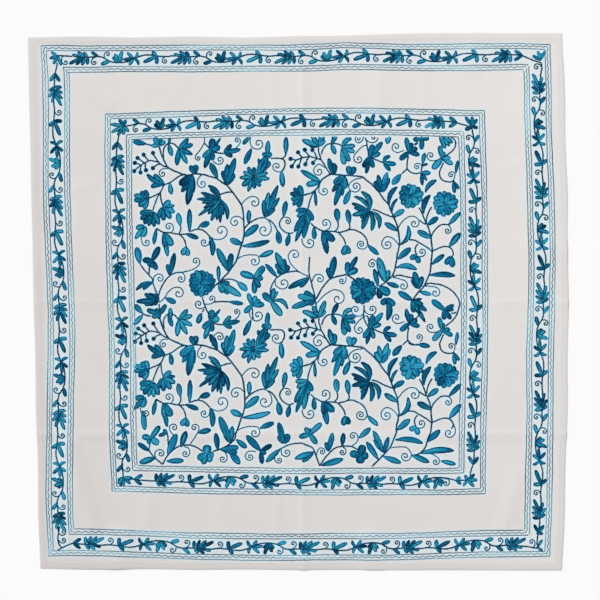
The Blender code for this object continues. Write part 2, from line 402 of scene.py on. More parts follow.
class Needlework:
    """Chain stitch for one part of the cloth: rows are laid motif by motif, and grouped by piece."""

    def __init__(self, cover, place=None, low=-math.inf, high=math.inf):
        self.cover = cover
        self.place = place or (lambda points: points)
        self.low, self.high = low, high
        self.first_run, self.last_run, self.lowest = -math.inf, math.inf, -math.inf
        self.narrow_leaves = True
        self.patches = []
        self.links = {"vines": [], "leaves": [], "flowers": []}
        self.waiting = []

    def at(self, *points):
        return self.place(np.asarray(points, float))

    def reaches(self, point):
        """Whether a charted point lies in the stretch of the chart that is being sewn."""
        return self.first_run <= point[0] <= self.last_run and point[1] >= self.lowest

    def lay(self, group, line, shade, hue, width=LINK_WIDTH, pitch=LINK_PITCH, over=False, fade=None):
        """One row of links along a line, left out where the cloth is covered unless it goes over."""
        holes = evenly(line, pitch)
        if len(holes) < 2:
            return np.empty((0, 2))
        start, end = holes[:-1], holes[1:]
        middle = (start + end) / 2
        free = (over | ~self.cover.taken(middle)) & (middle[:, 1] > self.low) & (middle[:, 1] < self.high)
        start, end, count = start[free], end[free], int(free.sum())
        if not count:
            return np.empty((0, 2))
        drift = 0.12 * np.sin(np.arange(count) * 0.23 + chance.uniform(0, 6.3))
        shades = shade + drift + chance.normal(0, 0.025, count)
        if fade:
            shades = shades + fade((start + end) / 2)
        hues = np.full(count, hue) + chance.normal(0, 0.02, count)
        self.links[group].append(np.column_stack([start, end, np.full(count, width), shades, hues]))
        return np.vstack([start, start + (end - start) / 3, start + (end - start) * 2 / 3, end])

    def motif_colour(self):
        """A motif's own dye lot: how far its shade and its hue stray from the middle ones."""
        return chance.uniform(-0.14, 0.19), 0.55 * chance.beta(1.1, 2.2)

    def stem(self, *points, width=STEM_WIDTH):
        points = [point for point in points if self.reaches(point)]
        if len(points) < 2:
            return
        line = smooth_curve(self.at(*points))
        shade = STEM_SHADE + chance.uniform(-0.04, 0.16)
        self.cover.mark(self.lay("vines", line, shade, chance.uniform(0.2, 0.7), width))

    def curl(self, centre, turning, *lead, turns=1.45, width=CURL_WIDTH):
        """A tendril: its lead-in, then a spiral that winds to its centre."""
        if not self.reaches(centre) or min(point[1] for point in lead) < self.lowest:
            return
        lead = self.at(*lead)
        centre = self.at(centre)[0]
        points = np.vstack([lead, spiral(centre, lead[-1], turning, turns)])
        shade = STEM_SHADE + chance.uniform(-0.04, 0.26)
        line = smooth_curve(points)
        self.cover.mark(self.lay("vines", line, shade, chance.uniform(0.2, 0.8), width, CURL_PITCH))

    def berries(self, *centres, radius=4.1):
        """Small round berries, each one ring and a coil inside it."""
        angle = np.linspace(0, 2 * math.pi, 16)
        ring = (radius - 1.1) * np.column_stack([np.cos(angle), np.sin(angle)])
        for centre in self.at(*centres):
            coil = spiral(centre, centre + [radius - 1.6, 0.0], LEFT, 1.2, 0.5)
            shade = BERRY_SHADE + chance.uniform(-0.10, 0.20)
            points = np.vstack([centre + ring, coil])
            self.cover.mark(self.lay("vines", points, shade, chance.uniform(0, 0.6), 2.6, 2.1, over=True))
            upper = centre + ring[:8]
            lower = centre + ring[:8] * [1, -1]
            self.patches.append((np.stack([lower, upper], axis=1), np.full((8, 2), shade), 0.3))

    def petal(self, group, base, tip, width, bend, pointed, colour):
        """One petal or leaf: a dark outline and lighter rows that run beside it inwards."""
        run = tip - base
        side = np.array([-run[1], run[0]]) / np.hypot(*run)
        share = np.linspace(0, 1, 41)
        middle = base + run * share[:, None] + side * (4 * bend * share * (1 - share))[:, None]
        half = PETAL_FULLNESS * width / 2 * petal_outline(share, pointed)
        lighter, hue = colour
        tilt = chance.uniform(*PETAL_TILT) * (1.0 if self.narrow_leaves else BORDER_TILT)

        def fade(points):
            return tilt * ((points - base) @ run / (run @ run) - 0.5)

        covered = []
        edge = side * np.maximum(half - UNDERLAY_INSET, UNDERLAY_LEAST)[:, None]
        patch = np.stack([middle + edge, middle - edge], axis=1)[::4]
        patch = patch[(patch[:, :, 1].min(axis=1) > self.low) & (patch[:, :, 1].max(axis=1) < self.high)]
        if len(patch) > 1:
            self.patches.append((patch, OUTLINE_SHADE + 0.05 + lighter + fade(patch), hue))
        inset = ROW_GAP / 2
        squeeze = 0.4 * ROW_GAP
        shade = OUTLINE_SHADE + 0.45 * lighter
        while half.max() - inset >= 0.25 * ROW_GAP:
            inside = half > inset - squeeze
            reach = np.maximum(half[inside] - inset, 0.0)[:, None]
            spine = middle[inside]
            line = np.vstack([spine + side * reach, spine[-1:], (spine - side * reach)[::-1]])
            covered.append(self.lay(group, line, shade, hue, fade=fade))
            inset += ROW_GAP
            shade = FILL_SHADE + lighter + chance.uniform(-0.14, 0.14)
        inside = half > inset - squeeze if covered else half > 0
        if inside.sum() > 2:
            covered.append(self.lay(group, middle[inside], shade, hue, fade=fade))
        return np.vstack(covered)

    def petals(self, base, *tips):
        """A leaf, or a blossom's petals from one base: each tip as x, y, width and bend."""
        if self.reaches(base) and min(tip[1] for tip in tips) >= self.lowest:
            self.waiting.append((base, tips))

    def sew_petals(self):
        """The petals come after the stems, so that each one tucks in beside its stem."""
        for base, tips in self.waiting:
            colour = self.motif_colour()
            play = FIELD_PLAY
            if not self.narrow_leaves:
                colour = (colour[0] + BORDER_LIGHTER, BORDER_TEAL * colour[1])
                play = BORDER_PLAY
            group = "leaves" if len(tips) == 1 else "flowers"
            start = self.at(base)[0]
            for tip in tips:
                bend = tip[3] if len(tip) > 3 else 0.0
                own = (colour[0] + chance.uniform(-play, play), colour[1] + chance.uniform(-0.12, 0.12))
                end = self.at(tip[:2])[0]
                slender = np.hypot(*(end - start)) > 3.2 * tip[2]
                pointed = self.narrow_leaves and (len(tips) == 1 or slender)
                self.cover.mark(self.petal(group, start, end, tip[2], bend, pointed, own))
        self.waiting = []

    def rosette(self, centre, radius, count, width=11.0):
        """A round flower head: petals all round, the odd ones tucked behind the even ones."""
        order = list(range(0, count, 2)) + list(range(1, count, 2))
        tips = []
        for number in order:
            angle = 2 * math.pi * number / count + 0.2
            reach = radius * (1.0 + 0.06 * math.sin(3 * angle + 1))
            tips.append((centre[0] + reach * math.cos(angle), centre[1] + reach * math.sin(angle), width))
        self.petals(centre, *tips)


def embroider_left_half(needle):
    """The left half of the field's repeat, in millimetres from the middle of the cloth."""
    stem, petals, curl = needle.stem, needle.petals, needle.curl
    # The main stem, from its top down to the round flower, and the blossom beside it.
    stem((-238, 266), (-235, 255), (-230, 242), (-224, 231), (-217, 226), (-208, 222), (-196, 217.5),
         (-186, 216.5), (-178, 219), (-170, 218.5), (-160, 217), (-150, 214), (-139, 210.5), (-130, 204),
         (-122, 199), (-112, 187), (-104, 176), (-97, 165), (-94, 152), (-93, 138), (-92.5, 125),
         (-93, 112), (-95, 103), (-98, 95), (-101, 85), (-104, 75), (-108, 66), (-115, 56), (-120, 49),
         (-128, 41), (-136, 32), (-145, 26), width=MAIN_STEM_WIDTH)
    stem((-230, 246), (-231, 254), (-230, 262), (-226, 268), (-222, 271), (-216, 271), (-210, 268),
         (-205, 262))
    petals((-222, 270), (-216, 249, 8))
    petals((-204, 262), (-188, 279, 8), (-180, 269, 8), (-180.5, 251.5, 8), (-190, 236, 8),
           (-208, 232.5, 9))
    # The berry spray.
    stem((-222, 229), (-230, 232), (-236, 236), (-242, 243), (-247, 251))
    stem((-236, 236), (-242, 234), (-247, 230))
    stem((-237, 238), (-244, 240), (-252, 241.5), (-256, 241), (-262, 238), (-267, 235), (-275, 229),
         (-279, 225))
    stem((-256, 241), (-261, 247), (-264, 250))
    stem((-264, 237.5), (-268, 241), (-274, 245))
    stem((-269, 233.5), (-274, 236), (-278, 237))
    stem((-268, 234), (-270, 229), (-270, 223))
    stem((-261, 238), (-262, 232), (-261, 227))
    needle.berries((-264.5, 251.5), (-275, 246), (-248.5, 254.5), (-279.5, 237.5), (-280.5, 223.5),
                   (-270, 221), (-248.5, 228.5), (-260.5, 225))
    curl((-232, 219), LEFT, (-223, 228), (-231, 227.5))
    # The lower branch with three side blossoms.
    stem((-196, 217.5), (-205, 214), (-213, 208), (-220, 203.5), (-229, 200), (-232, 195), (-236, 187),
         (-243, 182.5), (-250, 179.5), (-256, 177))
    stem((-236, 187), (-241, 178), (-245, 168), (-249, 156))
    stem((-236, 187), (-235, 176), (-233, 168), (-231, 161))
    petals((-220, 203), (-217, 183, 8))
    petals((-230, 201), (-260, 219, 8, 3), (-247, 218, 8), (-252, 196, 9, -2))
    petals((-257, 177), (-262, 191, 8), (-270, 188, 9), (-281, 182, 9), (-281, 173, 9), (-273, 163, 9),
           (-264, 158.5, 9))
    petals((-250, 154), (-271, 151, 10), (-270, 141, 9), (-264, 133, 9), (-256, 129, 8), (-246, 127, 8),
           (-238.5, 131.5, 8, 2))
    petals((-231, 162), (-219, 173, 9), (-210.5, 164.5, 6), (-211, 153, 9), (-218, 142, 9),
           (-230.5, 138.5, 9), (-239, 142, 7, -2))
    petals((-180, 216), (-190, 165, 12), (-203, 200, 13), (-200, 187, 9), (-182, 182, 10))
    petals((-178, 219), (-184.5, 233, 9), (-174, 234, 10))
    # The blossom under the arch, with an arrow-shaped bud beside it.
    petals((-149, 260), (-146, 279, 11), (-134, 265, 11), (-132, 280.5, 5), (-163, 247, 9),
           (-160.5, 228, 9), (-146, 242, 9))
    stem((-145, 256), (-137, 254.5), (-128, 253.5))
    petals((-127, 255), (-114, 269, 7), (-98, 260.5, 8), (-112, 248.5, 7))
    curl((-104.5, 276), LEFT, (-107, 263), (-101.5, 268), (-98.5, 274))
    petals((-138, 211.5), (-150.5, 238, 10))
    petals((-121.5, 201), (-107.5, 247, 10), (-121, 236, 10), (-129.5, 224, 9), (-110, 220, 11))
    curl((-164, 202), LEFT, (-166, 217), (-170.5, 211))
    # The half-open flower under the arching stem.
    stem((-112, 187.5), (-122, 187), (-130, 184.5), (-135, 182))
    petals((-133, 175), (-155, 199, 8, -4), (-152, 192, 7, -3), (-167, 187, 7), (-162, 182, 6),
           (-174, 175.5, 6), (-165, 169, 7), (-162, 160, 7), (-172, 146, 6), (-155, 149, 8),
           (-149.5, 137, 8), (-140, 138, 6), (-133.5, 134.5, 6.5), (-128, 147, 7), (-121.5, 139, 7, 5))
    petals((-186, 119), (-186, 160, 8))
    petals((-192, 116), (-170, 108, 8))
    stem((-184, 120), (-176, 123.5), (-172, 124), (-169, 129))
    petals((-169, 129), (-151.5, 135, 10))
    stem((-172, 124), (-165, 123), (-158, 118.5), (-152, 112))
    petals((-152, 113), (-147, 77.5, 9, 3))
    curl((-132, 121), LEFT, (-151, 111), (-145, 107.5), (-138, 106))
    curl((-161, 101.5), RIGHT, (-152, 104), (-152.5, 99))
    curl((-108, 136), LEFT, (-93.5, 139), (-100, 145))
    # Leaves along the upright stem.
    petals((-96, 97.5), (-117, 107, 10))
    petals((-119.5, 52), (-139, 92, 11), (-114, 82.5, 10))
    petals((-136, 35), (-136.5, 61.5, 6.5))
    petals((-134, 32), (-97, 9, 11), (-129, 15, 10), (-119, 12.5, 9), (-117, 31, 8))
    stem((-132, 36), (-120, 38.5), (-110, 37), (-103, 33.5))
    petals((-104, 34), (-87, 18.5, 10))
    curl((-148, 5), LEFT, (-159, -4.5), (-152, -4.5), (-146, -2.5))
    stem((-144, -1), (-130, 0), (-118, -0.5))
    petals((-118, -0.5), (-93, -4, 7))
    # Flowers near the left side, from the middle downwards.
    petals((-202, 130), (-206, 152, 9))
    stem((-201.5, 130), (-201, 123), (-204, 116))
    stem((-243, 125), (-237, 121.5), (-230, 118), (-221, 118), (-213, 116.5), (-203, 115), (-192, 115.5))
    stem((-203, 115), (-197, 109), (-193, 101), (-191.5, 93))
    curl((-221.5, 128), LEFT, (-219, 117), (-214.5, 121.5))
    petals((-243, 124), (-247.5, 97.5, 7))
    petals((-230, 117), (-228.5, 93, 8), (-215.5, 96, 12), (-223, 76, 8))
    petals((-263, 129), (-277.5, 126, 9), (-279.5, 106.5, 8), (-266, 111, 12))
    curl((-259.5, 101.5), LEFT, (-269, 111), (-268, 103.5))
    petals((-192, 92.5), (-199, 80, 9), (-188, 78.5, 9))
    petals((-271, 65), (-276.5, 93.5, 11))
    stem((-271, 65), (-265, 56), (-256, 46), (-250, 39), (-248, 30), (-245, 21), (-241, 13), (-239, 8),
         (-238.5, 0))
    stem((-255, 47), (-255, 53), (-254.5, 61))
    petals((-250, 70), (-266, 71, 10), (-258, 62, 7), (-250, 58, 8), (-242, 54.5, 9), (-237.5, 94, 10))
    petals((-248, 33), (-278, 19, 7, -4), (-266, 19.5, 7, -2))
    curl((-237, 39.5), RIGHT, (-247.5, 34), (-247.5, 41))
    stem((-239, 10), (-236, 20), (-230, 32), (-224, 40), (-217, 46), (-208, 49.5), (-199, 50), (-190, 52))
    curl((-175.5, 69), LEFT, (-190, 52), (-180, 55), (-172.5, 60))
    petals((-219, 46), (-211.5, 84, 9), (-224, 64, 8))
    curl((-201, 39), RIGHT, (-198, 49.5), (-194.5, 45))
    curl((-205, 14), RIGHT, (-238, -2), (-232, 3), (-227, 8.5), (-223, 16), (-216.5, 21.5))
    petals((-227, 6), (-209, -2.5, 9))
    petals((-241, 2), (-278, 0, 9), (-263, 13, 8), (-256, 14, 8), (-247, 13.5, 8), (-263, -6, 8),
           (-255, -6, 8), (-247, -5.5, 8))
    # The spiky flower and the tall bud that grows out of it.
    curl((-68, 270.5), LEFT, (-79, 284), (-82, 278), (-82, 271), (-79, 264.5))
    petals((-80, 262), (-92, 235, 9))
    petals((-77, 213), (-101, 212, 7), (-94, 222.5, 7), (-86, 231, 7), (-75, 230.5, 7), (-51, 221, 8),
           (-48.5, 210, 8), (-62, 205, 8), (-64, 197, 8), (-74.5, 193, 7), (-86, 188, 7), (-96, 198, 9))
    petals((-70, 214), (-53, 250, 14))
    petals((-53, 246), (-51, 276, 8), (-60, 255, 8), (-46, 255, 8))
    petals((-63, 226), (-68, 246, 6), (-47.5, 239, 10), (-54, 228, 8))
    stem((-47, 245), (-38, 245.5), (-27, 244.5), (-23, 240), (-22.5, 233), (-25, 227), (-28, 222.5))
    petals((-28.5, 224), (-26, 196, 9))
    curl((-36.5, 231.5), RIGHT, (-28, 223), (-34, 222))
    # Right of the upright stem.
    curl((-75, 169.5), RIGHT, (-97, 166), (-92, 172.5), (-85, 178))
    petals((-57.5, 145), (-59, 174, 8), (-50, 188, 9), (-34, 200, 9), (-31.5, 178.5, 8), (-40, 161, 9))
    stem((-92, 125), (-86, 132), (-78, 138), (-68, 142.5), (-60, 144))
    curl((-58.5, 122.5), RIGHT, (-60, 144), (-53, 141), (-48.5, 135))
    stem((-52, 140.5), (-46, 137.5), (-40, 130), (-35.5, 121))
    petals((-35, 121), (-31.5, 98.5, 10))
    petals((-85, 134), (-84, 157.5, 7.5))
    petals((-93, 111), (-67.5, 131.5, 11))
    petals((-96, 95), (-47.5, 104.5, 9, -2))
    petals((-25, 146), (-20.5, 173, 8.5))
    stem((-8, 119), (-14, 116.5), (-22, 119), (-29, 125), (-32, 133), (-29.5, 140), (-25, 145))
    curl((-18, 137.5), RIGHT, (-26, 144.5), (-21, 144.5))
    petals((-15, 116), (-19.5, 95, 8))
    curl((-75, 69), RIGHT, (-104, 73), (-97, 77), (-88, 79.5), (-79, 80), (-70, 79))
    petals((-66, 77), (-42, 86.5, 9))
    petals((-22, 49.5), (-38.5, 84.5, 11), (-24, 73.5, 8), (-16.5, 62, 9), (-38.5, 64, 10), (-36, 52, 9))
    petals((-36, 42), (-56, 64.5, 7.5))
    petals((-74, 41), (-99, 49.5, 11), (-58, 60, 11), (-60, 39.5, 9), (-66, 24, 9), (-75, 13.5, 9))
    stem((-47, 8), (-47.5, 18), (-45, 28), (-41, 35), (-35, 42), (-28, 46.5), (-20, 49.5), (-10, 51.5),
         (-3, 52), (4, 50))
    curl((-25, 31.5), LEFT, (-39.5, 36), (-38.5, 28.5))


def embroider_right_half(needle):
    """The right half of the field's repeat, in millimetres from the middle of the cloth."""
    stem, petals, curl = needle.stem, needle.petals, needle.curl
    # The second berry spray and the stem that carries it.
    petals((34, 266), (6, 277, 9), (24, 285, 8), (46, 294, 9), (46, 277, 8), (19, 267, 7))
    stem((35, 264), (35, 256), (38, 249), (38.5, 244), (42, 239), (46, 232), (51, 224), (55, 218.5))
    stem((38, 243), (33, 245), (31, 249), (28, 256))
    stem((33, 245), (28, 241))
    stem((38, 243), (33, 245), (29, 246), (20, 248.5), (12, 247), (7, 246.5), (0, 243.5), (-4, 242))
    stem((20, 248.5), (13, 256))
    stem((19, 248), (15, 243), (14, 238))
    stem((7, 246.5), (2, 252))
    stem((6, 246), (4, 240), (2, 234))
    stem((-4, 242), (-10, 244))
    stem((-4, 242), (-9, 234))
    needle.berries((24.5, 259.5), (25.5, 237.5), (11.5, 260), (12.5, 235), (0, 255.5), (0.5, 231),
                   (-13, 244.5), (-11, 231.5))
    curl((35.5, 223), LEFT, (47, 229), (44, 231), (36, 235.5))
    petals((60, 217), (52, 246, 9), (62, 237, 11))
    stem((98, 215), (90, 216), (80, 216), (72, 217), (62, 217.5), (56, 218), (48, 214), (41, 209),
         (37.5, 203), (33, 195), (27, 189), (20, 185), (8, 182), width=MAIN_STEM_WIDTH)
    stem((27, 188), (23, 180), (19, 168), (17, 158))
    petals((38, 205), (4, 225, 9), (18, 216, 9), (14, 200, 10))
    petals((29, 190), (31, 162, 5))
    curl((45, 189.5), LEFT, (37, 200), (35, 190))
    petals((7, 182), (2, 199, 9), (-8, 194, 8), (-14, 185, 8), (-12, 174, 8), (-9, 165, 8), (0, 161, 9))
    petals((17, 157), (-4, 156, 8), (-2, 145, 8), (25, 139, 9), (18, 131, 8), (-7, 119, 10),
           (-5, 101.5, 8), (9, 107, 10))
    # The branch over the top, with its blossom and leaves.
    stem((40, 252), (42, 260), (47, 267), (53, 270), (64, 270.5), (71, 269), (76, 265))
    petals((57, 270), (67, 289, 8))
    petals((57, 270), (64, 252, 8))
    petals((76, 264), (92, 279.5, 8, 4), (98, 267, 8), (97, 256, 8), (88, 240, 9), (79, 234.5, 10))
    petals((89, 217), (86, 232, 10), (98, 230, 10))
    petals((78, 215), (61.5, 201.5, 11), (80, 193, 12), (58, 187, 8), (62, 163, 9), (75, 180, 8))
    petals((89, 190), (79, 166, 9))
    # The wavy stem across the middle, with leaves and curls.
    stem((22, 134), (28, 128), (35, 124), (42, 121), (50, 120.5), (60, 120), (70, 118.5), (78, 120),
         (87, 123), (95, 123), (103, 120), (109, 117), (114, 112), (118, 105), (119, 99), (120, 95))
    petals((119, 97), (138, 80, 8))
    curl((108, 98), RIGHT, (119, 101), (118, 95), (115, 91), turns=1.8)
    curl((20, 101), LEFT, (6, 108), (8, 99))
    petals((27, 127), (28, 106, 8))
    curl((47, 134), LEFT, (46, 121), (54, 126))
    petals((68, 137), (66, 160, 10))
    stem((68, 137), (69, 129), (66, 123), (62, 120))
    petals((88, 133), (84.5, 158, 9))
    stem((88, 133), (89, 128), (86.5, 123))
    petals((43, 120), (45, 97.5, 9), (62, 104, 12), (50, 81, 10))
    stem((69, 118), (74, 113), (79, 106), (81.5, 98))
    petals((82, 96), (77, 80, 10), (88, 82, 9))
    # The long upright, the thick branch from its foot, and the flowers that they bear.
    petals((18, 41), (-18, 22, 9), (3, 24.5, 8))
    curl((-5.5, 80), RIGHT, (18, 43), (2, 51), (-12, 64), (-17, 76))
    stem((20, 76.5), (19, 66), (18.5, 55), (19, 45), (22, 36), (24, 27), (27, 16), (29, 7), (30, 0),
         (31, -8), (32, -18))
    curl((37, 38.5), RIGHT, (23, 33), (28, 44))
    petals((56, 39), (63, 78, 11), (50, 58, 8))
    stem((31, 4), (36, 14), (42, 24), (49, 33), (56, 39), (66, 42.5), (77, 45), (83, 46), (90, 42),
         (98, 36), width=MAIN_STEM_WIDTH)
    petals((84, 48), (85, 68, 9), (102, 78, 8), (102, 55, 11))
    curl((75, 35.5), RIGHT, (82, 43), (82, 37))
    curl((68, 5), RIGHT, (32, -3), (45, 11), (60, 20))
    petals((29, 3), (-12, -11, 10), (-1, 10, 10), (11, 17, 10), (9, -6, 8), (19, -6, 8))
    # The upper right blossoms.
    curl((104, 244), LEFT, (117.5, 268), (110, 265.5), (102, 258), (96, 250))
    stem((118, 268), (119, 262), (120, 255), (121, 249))
    petals((123, 248), (128, 269, 10), (145, 274, 9), (141, 254, 8), (111, 230, 9), (116, 218, 7),
           (129, 229, 8))
    stem((126, 246), (133, 243), (140, 240), (146, 238))
    petals((146, 238), (158, 249, 7, 3), (168, 235, 8), (158, 224, 7))
    curl((168, 265), RIGHT, (182, 259), (175, 256.5), (170, 255))
    petals((190, 256), (185, 281, 8), (195, 272, 8), (204, 263, 9), (208, 251, 8), (174, 243, 9))
    stem((189, 249), (187, 240), (186.5, 232), (187, 227), (192, 222), (198, 219.5), (205, 219.5),
         (210, 221))
    stem((187, 227), (183, 224), (178, 219))
    petals((176, 218), (161, 200, 10))
    curl((227, 250), RIGHT, (240, 242.5), (232, 241), (226, 241.5))
    petals((247, 245), (242, 267, 8), (250, 257, 7), (261, 246, 8), (265, 235, 8), (230, 227, 10))
    stem((249, 238), (247, 233), (243, 225), (242, 219), (244, 212), (249, 207), (256, 205), (263, 205),
         (267, 208))
    curl((262, 217), LEFT, (266, 207), (268, 213), (269, 218))
    petals((270, 220), (274, 242, 6))
    petals((266, 206), (276, 192, 6))
    petals((266, 206), (268, 185, 7))
    petals((218, 187), (238, 208, 8, 4))
    # The great stem that runs down through the right half, and its fan flower.
    stem((98, 215), (105, 214.5), (111, 213), (118, 207), (126, 201), (133, 193), (138, 188), (142, 182),
         (147, 175), (152, 170), (156, 164), (158, 158), (161, 151), (163, 146), (166, 139), (169, 132),
         (171, 126), (172, 118), (173, 110), (174, 102), (173, 96), (172, 88), (170, 82), (169, 72),
         (167, 62), (166, 56), (164, 50), (161, 44), width=MAIN_STEM_WIDTH)
    curl((99, 197), LEFT, (110, 211.5), (100, 210), (92, 206), (87, 199), (88, 192), turns=1.7)
    petals((143, 188), (152, 202, 9), (131, 206, 10), (136.5, 218, 8), (153, 222, 9), (156, 212, 9))
    petals((156, 165), (171, 197, 8, 6))
    petals((161, 151), (171, 177, 5, 4))
    petals((163, 146), (182, 157, 9))
    petals((122, 155), (107, 189, 9, -8), (95, 180, 7, -6), (91, 169, 7), (95, 161, 7), (92, 147.5, 8),
           (106, 143, 6), (108, 135, 6), (109, 123, 8), (125, 120, 8, 5), (132, 133, 7), (138, 124, 8, 9))
    stem((127, 158), (135, 156), (145, 151), (155, 147), (162, 144.5), (167, 144))
    petals((171, 121), (148, 135, 9))
    curl((199, 134), RIGHT, (172, 127), (177, 135), (184, 142), (192, 146), (200, 145.5))
    petals((174, 97), (188, 131, 8, -8))
    curl((153, 98), LEFT, (173, 96), (167, 104), (159, 110), (151, 111), turns=1.7)
    petals((171, 73), (193, 92, 10))
    petals((168, 58), (204, 54, 9, 5))
    stem((161, 43), (158, 41), (153, 36), (148, 32), (143, 29), (139, 26))
    curl((180, 27), RIGHT, (162, 41), (170, 40), (178, 37.5))
    stem((162, 42), (168, 44.5), (175, 45), (183, 43), (193, 41), (198, 40))
    petals((150, 33), (137, 76, 13), (156, 54, 8), (137, 55, 8))
    curl((127, 64), LEFT, (141, 57), (137, 64), (132, 70), (127, 72.5))
    petals((137, 26), (130, 57, 8))
    petals((152, 32), (173, 25, 8))
    stem((129, 22), (137, 23))
    petals((139, 24), (157, 13, 14), (140, 5, 10))
    # Two round flowers, and the far right stem down to the foot.
    needle.rosette((193, 181), 21, 12)
    stem((207, 161), (212, 152), (215, 145), (218, 137), (220, 132))
    needle.rosette((252, 168), 21.5, 13)
    stem((229, 162), (225, 156), (222, 149), (220, 141), (220, 133))
    petals((215, 151), (227, 183, 9, 5))
    petals((222, 131), (240, 145, 9))
    stem((220, 132), (215, 134), (208, 139))
    stem((221, 131), (224, 124), (226, 117), (228, 112), (228, 104), (229, 96), (230, 87), (229, 78),
         (228, 68), (227, 58), (226, 50), (224, 44), (220, 36), (217, 29), (214, 24), (210, 20),
         (206, 16), (202, 11), (198, 5), (196, 1), width=MAIN_STEM_WIDTH)
    petals((228, 109), (204, 121, 10))
    stem((229, 112), (231, 118), (236, 124), (241, 129), (247, 132), (254, 132), (258, 131))
    petals((258, 132), (278, 153, 8))
    curl((256, 121.5), RIGHT, (258, 130.5), (261, 127))
    petals((259, 94), (278, 118, 10))
    stem((230, 87), (236, 89), (242, 92), (249, 94), (256, 94), (262, 91), (265, 86), (266, 80),
         (263, 76))
    petals((262, 77), (252, 64, 9), (265, 59, 10))
    stem((230, 86), (222, 92), (214, 97), (207, 101), (200, 105), (190, 106))
    stem((206, 99), (202, 95), (200.5, 88), (203, 80))
    petals((203, 79), (192, 73.5, 9), (207, 66, 9))
    curl((212, 85), LEFT, (204, 78), (209, 76.5))
    petals((229, 64), (251, 81, 8))
    petals((226, 45), (270, 44, 9, 2))
    petals((206, 22), (199, 51, 10), (195, 39, 9), (213, 43, 9))
    petals((208, 17), (229, 11.5, 7))
    curl((235, 15), RIGHT, (216, 26), (222, 26.5), (230, 25.5))
    stem((217, 28), (221, 30), (226, 31.5), (235, 30), (243, 29), (251, 26), (259, 22), (266, 16),
         (272, 9), (276, 1), (277, -5))
    petals((196, 2), (171, 17, 10))


def embroider_far_row_extras(needle):
    """What only the row under the far border has, where the design meets the rail."""
    stem, petals, curl = needle.stem, needle.petals, needle.curl
    petals((-261, 270), (-283, 274, 9))
    stem((-261, 270), (-251, 267.5))
    petals((-239, 267), (-251, 267, 7), (-246, 281, 9), (-234, 280, 6), (-227, 275, 7))
    petals((-222, 270), (-219, 281, 5))
    curl((-171, 246), LEFT, (-161, 281), (-160.5, 273), (-167, 261), (-175.5, 250))
    stem((-160.5, 271), (-156, 267), (-151, 261))
    petals((-83, 282.5), (-95, 269, 7))
    stem((-27, 244.5), (-23, 248), (-21, 252.5))
    petals((-21, 252), (-20.5, 283, 8))
    curl((-134, 242.5), LEFT, (-146, 241), (-141, 236.5))
    curl((103, 279), RIGHT, (113, 285), (110, 276), (104, 271.5))
    curl((130, 281), LEFT, (118, 276), (122, 273), (128, 272))
    stem((114, 287), (115, 280), (117, 276), (118, 268))
    petals((157, 288), (152, 270, 9))
    petals((213, 280), (197, 277, 8), (224, 279, 8), (211, 260, 8))
    petals((243, 285), (252, 262, 8), (260, 266, 7), (265, 272, 8))
    stem((255, 282), (262, 281.5), (268, 277), (270, 270), (268, 263), (263, 257), (255, 251), (249, 247))
    petals((199, 268), (206, 273, 4))
    stem((213, 236), (212, 230), (211, 222))
    petals((213, 236), (217, 255, 7))
    petals((213, 233), (222, 236, 5))
    curl((204, 231), LEFT, (212, 233), (208, 236.5))
    petals((211, 220), (213, 198, 6))
    petals((212, 221), (221, 206, 5))
    petals((212, 221), (227, 220, 8))
    needle.rosette((-165, 31.5), 23, 14)
    needle.rosette((111, 19), 23, 14)


def embroider_between_rows(needle):
    """The flowers and stems that join the two rows of the repeat."""
    stem, petals, curl = needle.stem, needle.petals, needle.curl
    petals((-237, -22), (-226, -5, 8), (-244, -12, 7), (-259, -14, 9), (-250, -27, 8), (-240, -29.5, 7))
    petals((-218, -31), (-219, -10, 7.5))
    petals((-267, -20), (-280, -5, 9))
    stem((-267, -20), (-264, -22), (-258, -24), (-252, -25))
    petals((-266, -23), (-281.5, -40, 8))
    stem((-238.5, 0), (-238, -10), (-237, -18))
    petals((-166, -20), (-172, -38, 9))
    stem((-161, -13), (-164, -18))
    stem((-164, 8), (-162, 0), (-160, -6), (-157, -14), (-154, -20), (-150, -27), (-148, -30))
    curl((-170, -4), RIGHT, (-160, -10), (-166, -12))
    curl((-134, -61), RIGHT, (-147, -76), (-147, -65), (-143, -57), (-137, -53))
    petals((-78, -6), (-86, 14, 8), (-72, 10, 8), (-65, 3, 8), (-58, -5, 9), (-92, -19, 9))
    stem((-78, -12), (-78, -22), (-77, -30))
    petals((-46, 0), (-60, 14, 11), (-41, 23, 8), (-34, 18, 5), (-17.5, -14, 7, 9), (-28, -24, 11))
    stem((113, -6), (113, -14), (112, -22), (113, -30), (117, -38), (121, -45), (124, -50))
    curl((98.5, -14), RIGHT, (113, -14), (112, -21), (105, -25), (98, -24))
    curl((127, -13), LEFT, (113, -12), (115, -18), (121, -22), (128, -22))
    petals((151, 5), (143, -5, 10), (166, -6, 10), (152, -33, 10, 5))
    petals((196, 2), (212, 4.5, 5), (214, -6, 8), (198, -19, 9), (207, -20, 8), (221, -17, 8),
           (218, -36, 7))
    stem((209, -19), (205, -26), (199, -31), (195, -34))
    petals((250, -14), (229, 2.5, 10), (267, -6, 7), (267, -14, 6), (250, -31, 8), (262, -30, 8))
    stem((262, -20), (268, -20), (271, -18))
    stem((277, -5), (275, -12), (272, -22), (266, -31), (259, -37), (253, -42))
    petals((205, -73), (226, -77, 8))
    curl((207, -61), LEFT, (209, -69), (213, -64))
    stem((189, -71), (195, -74), (201, -74), (206, -73))


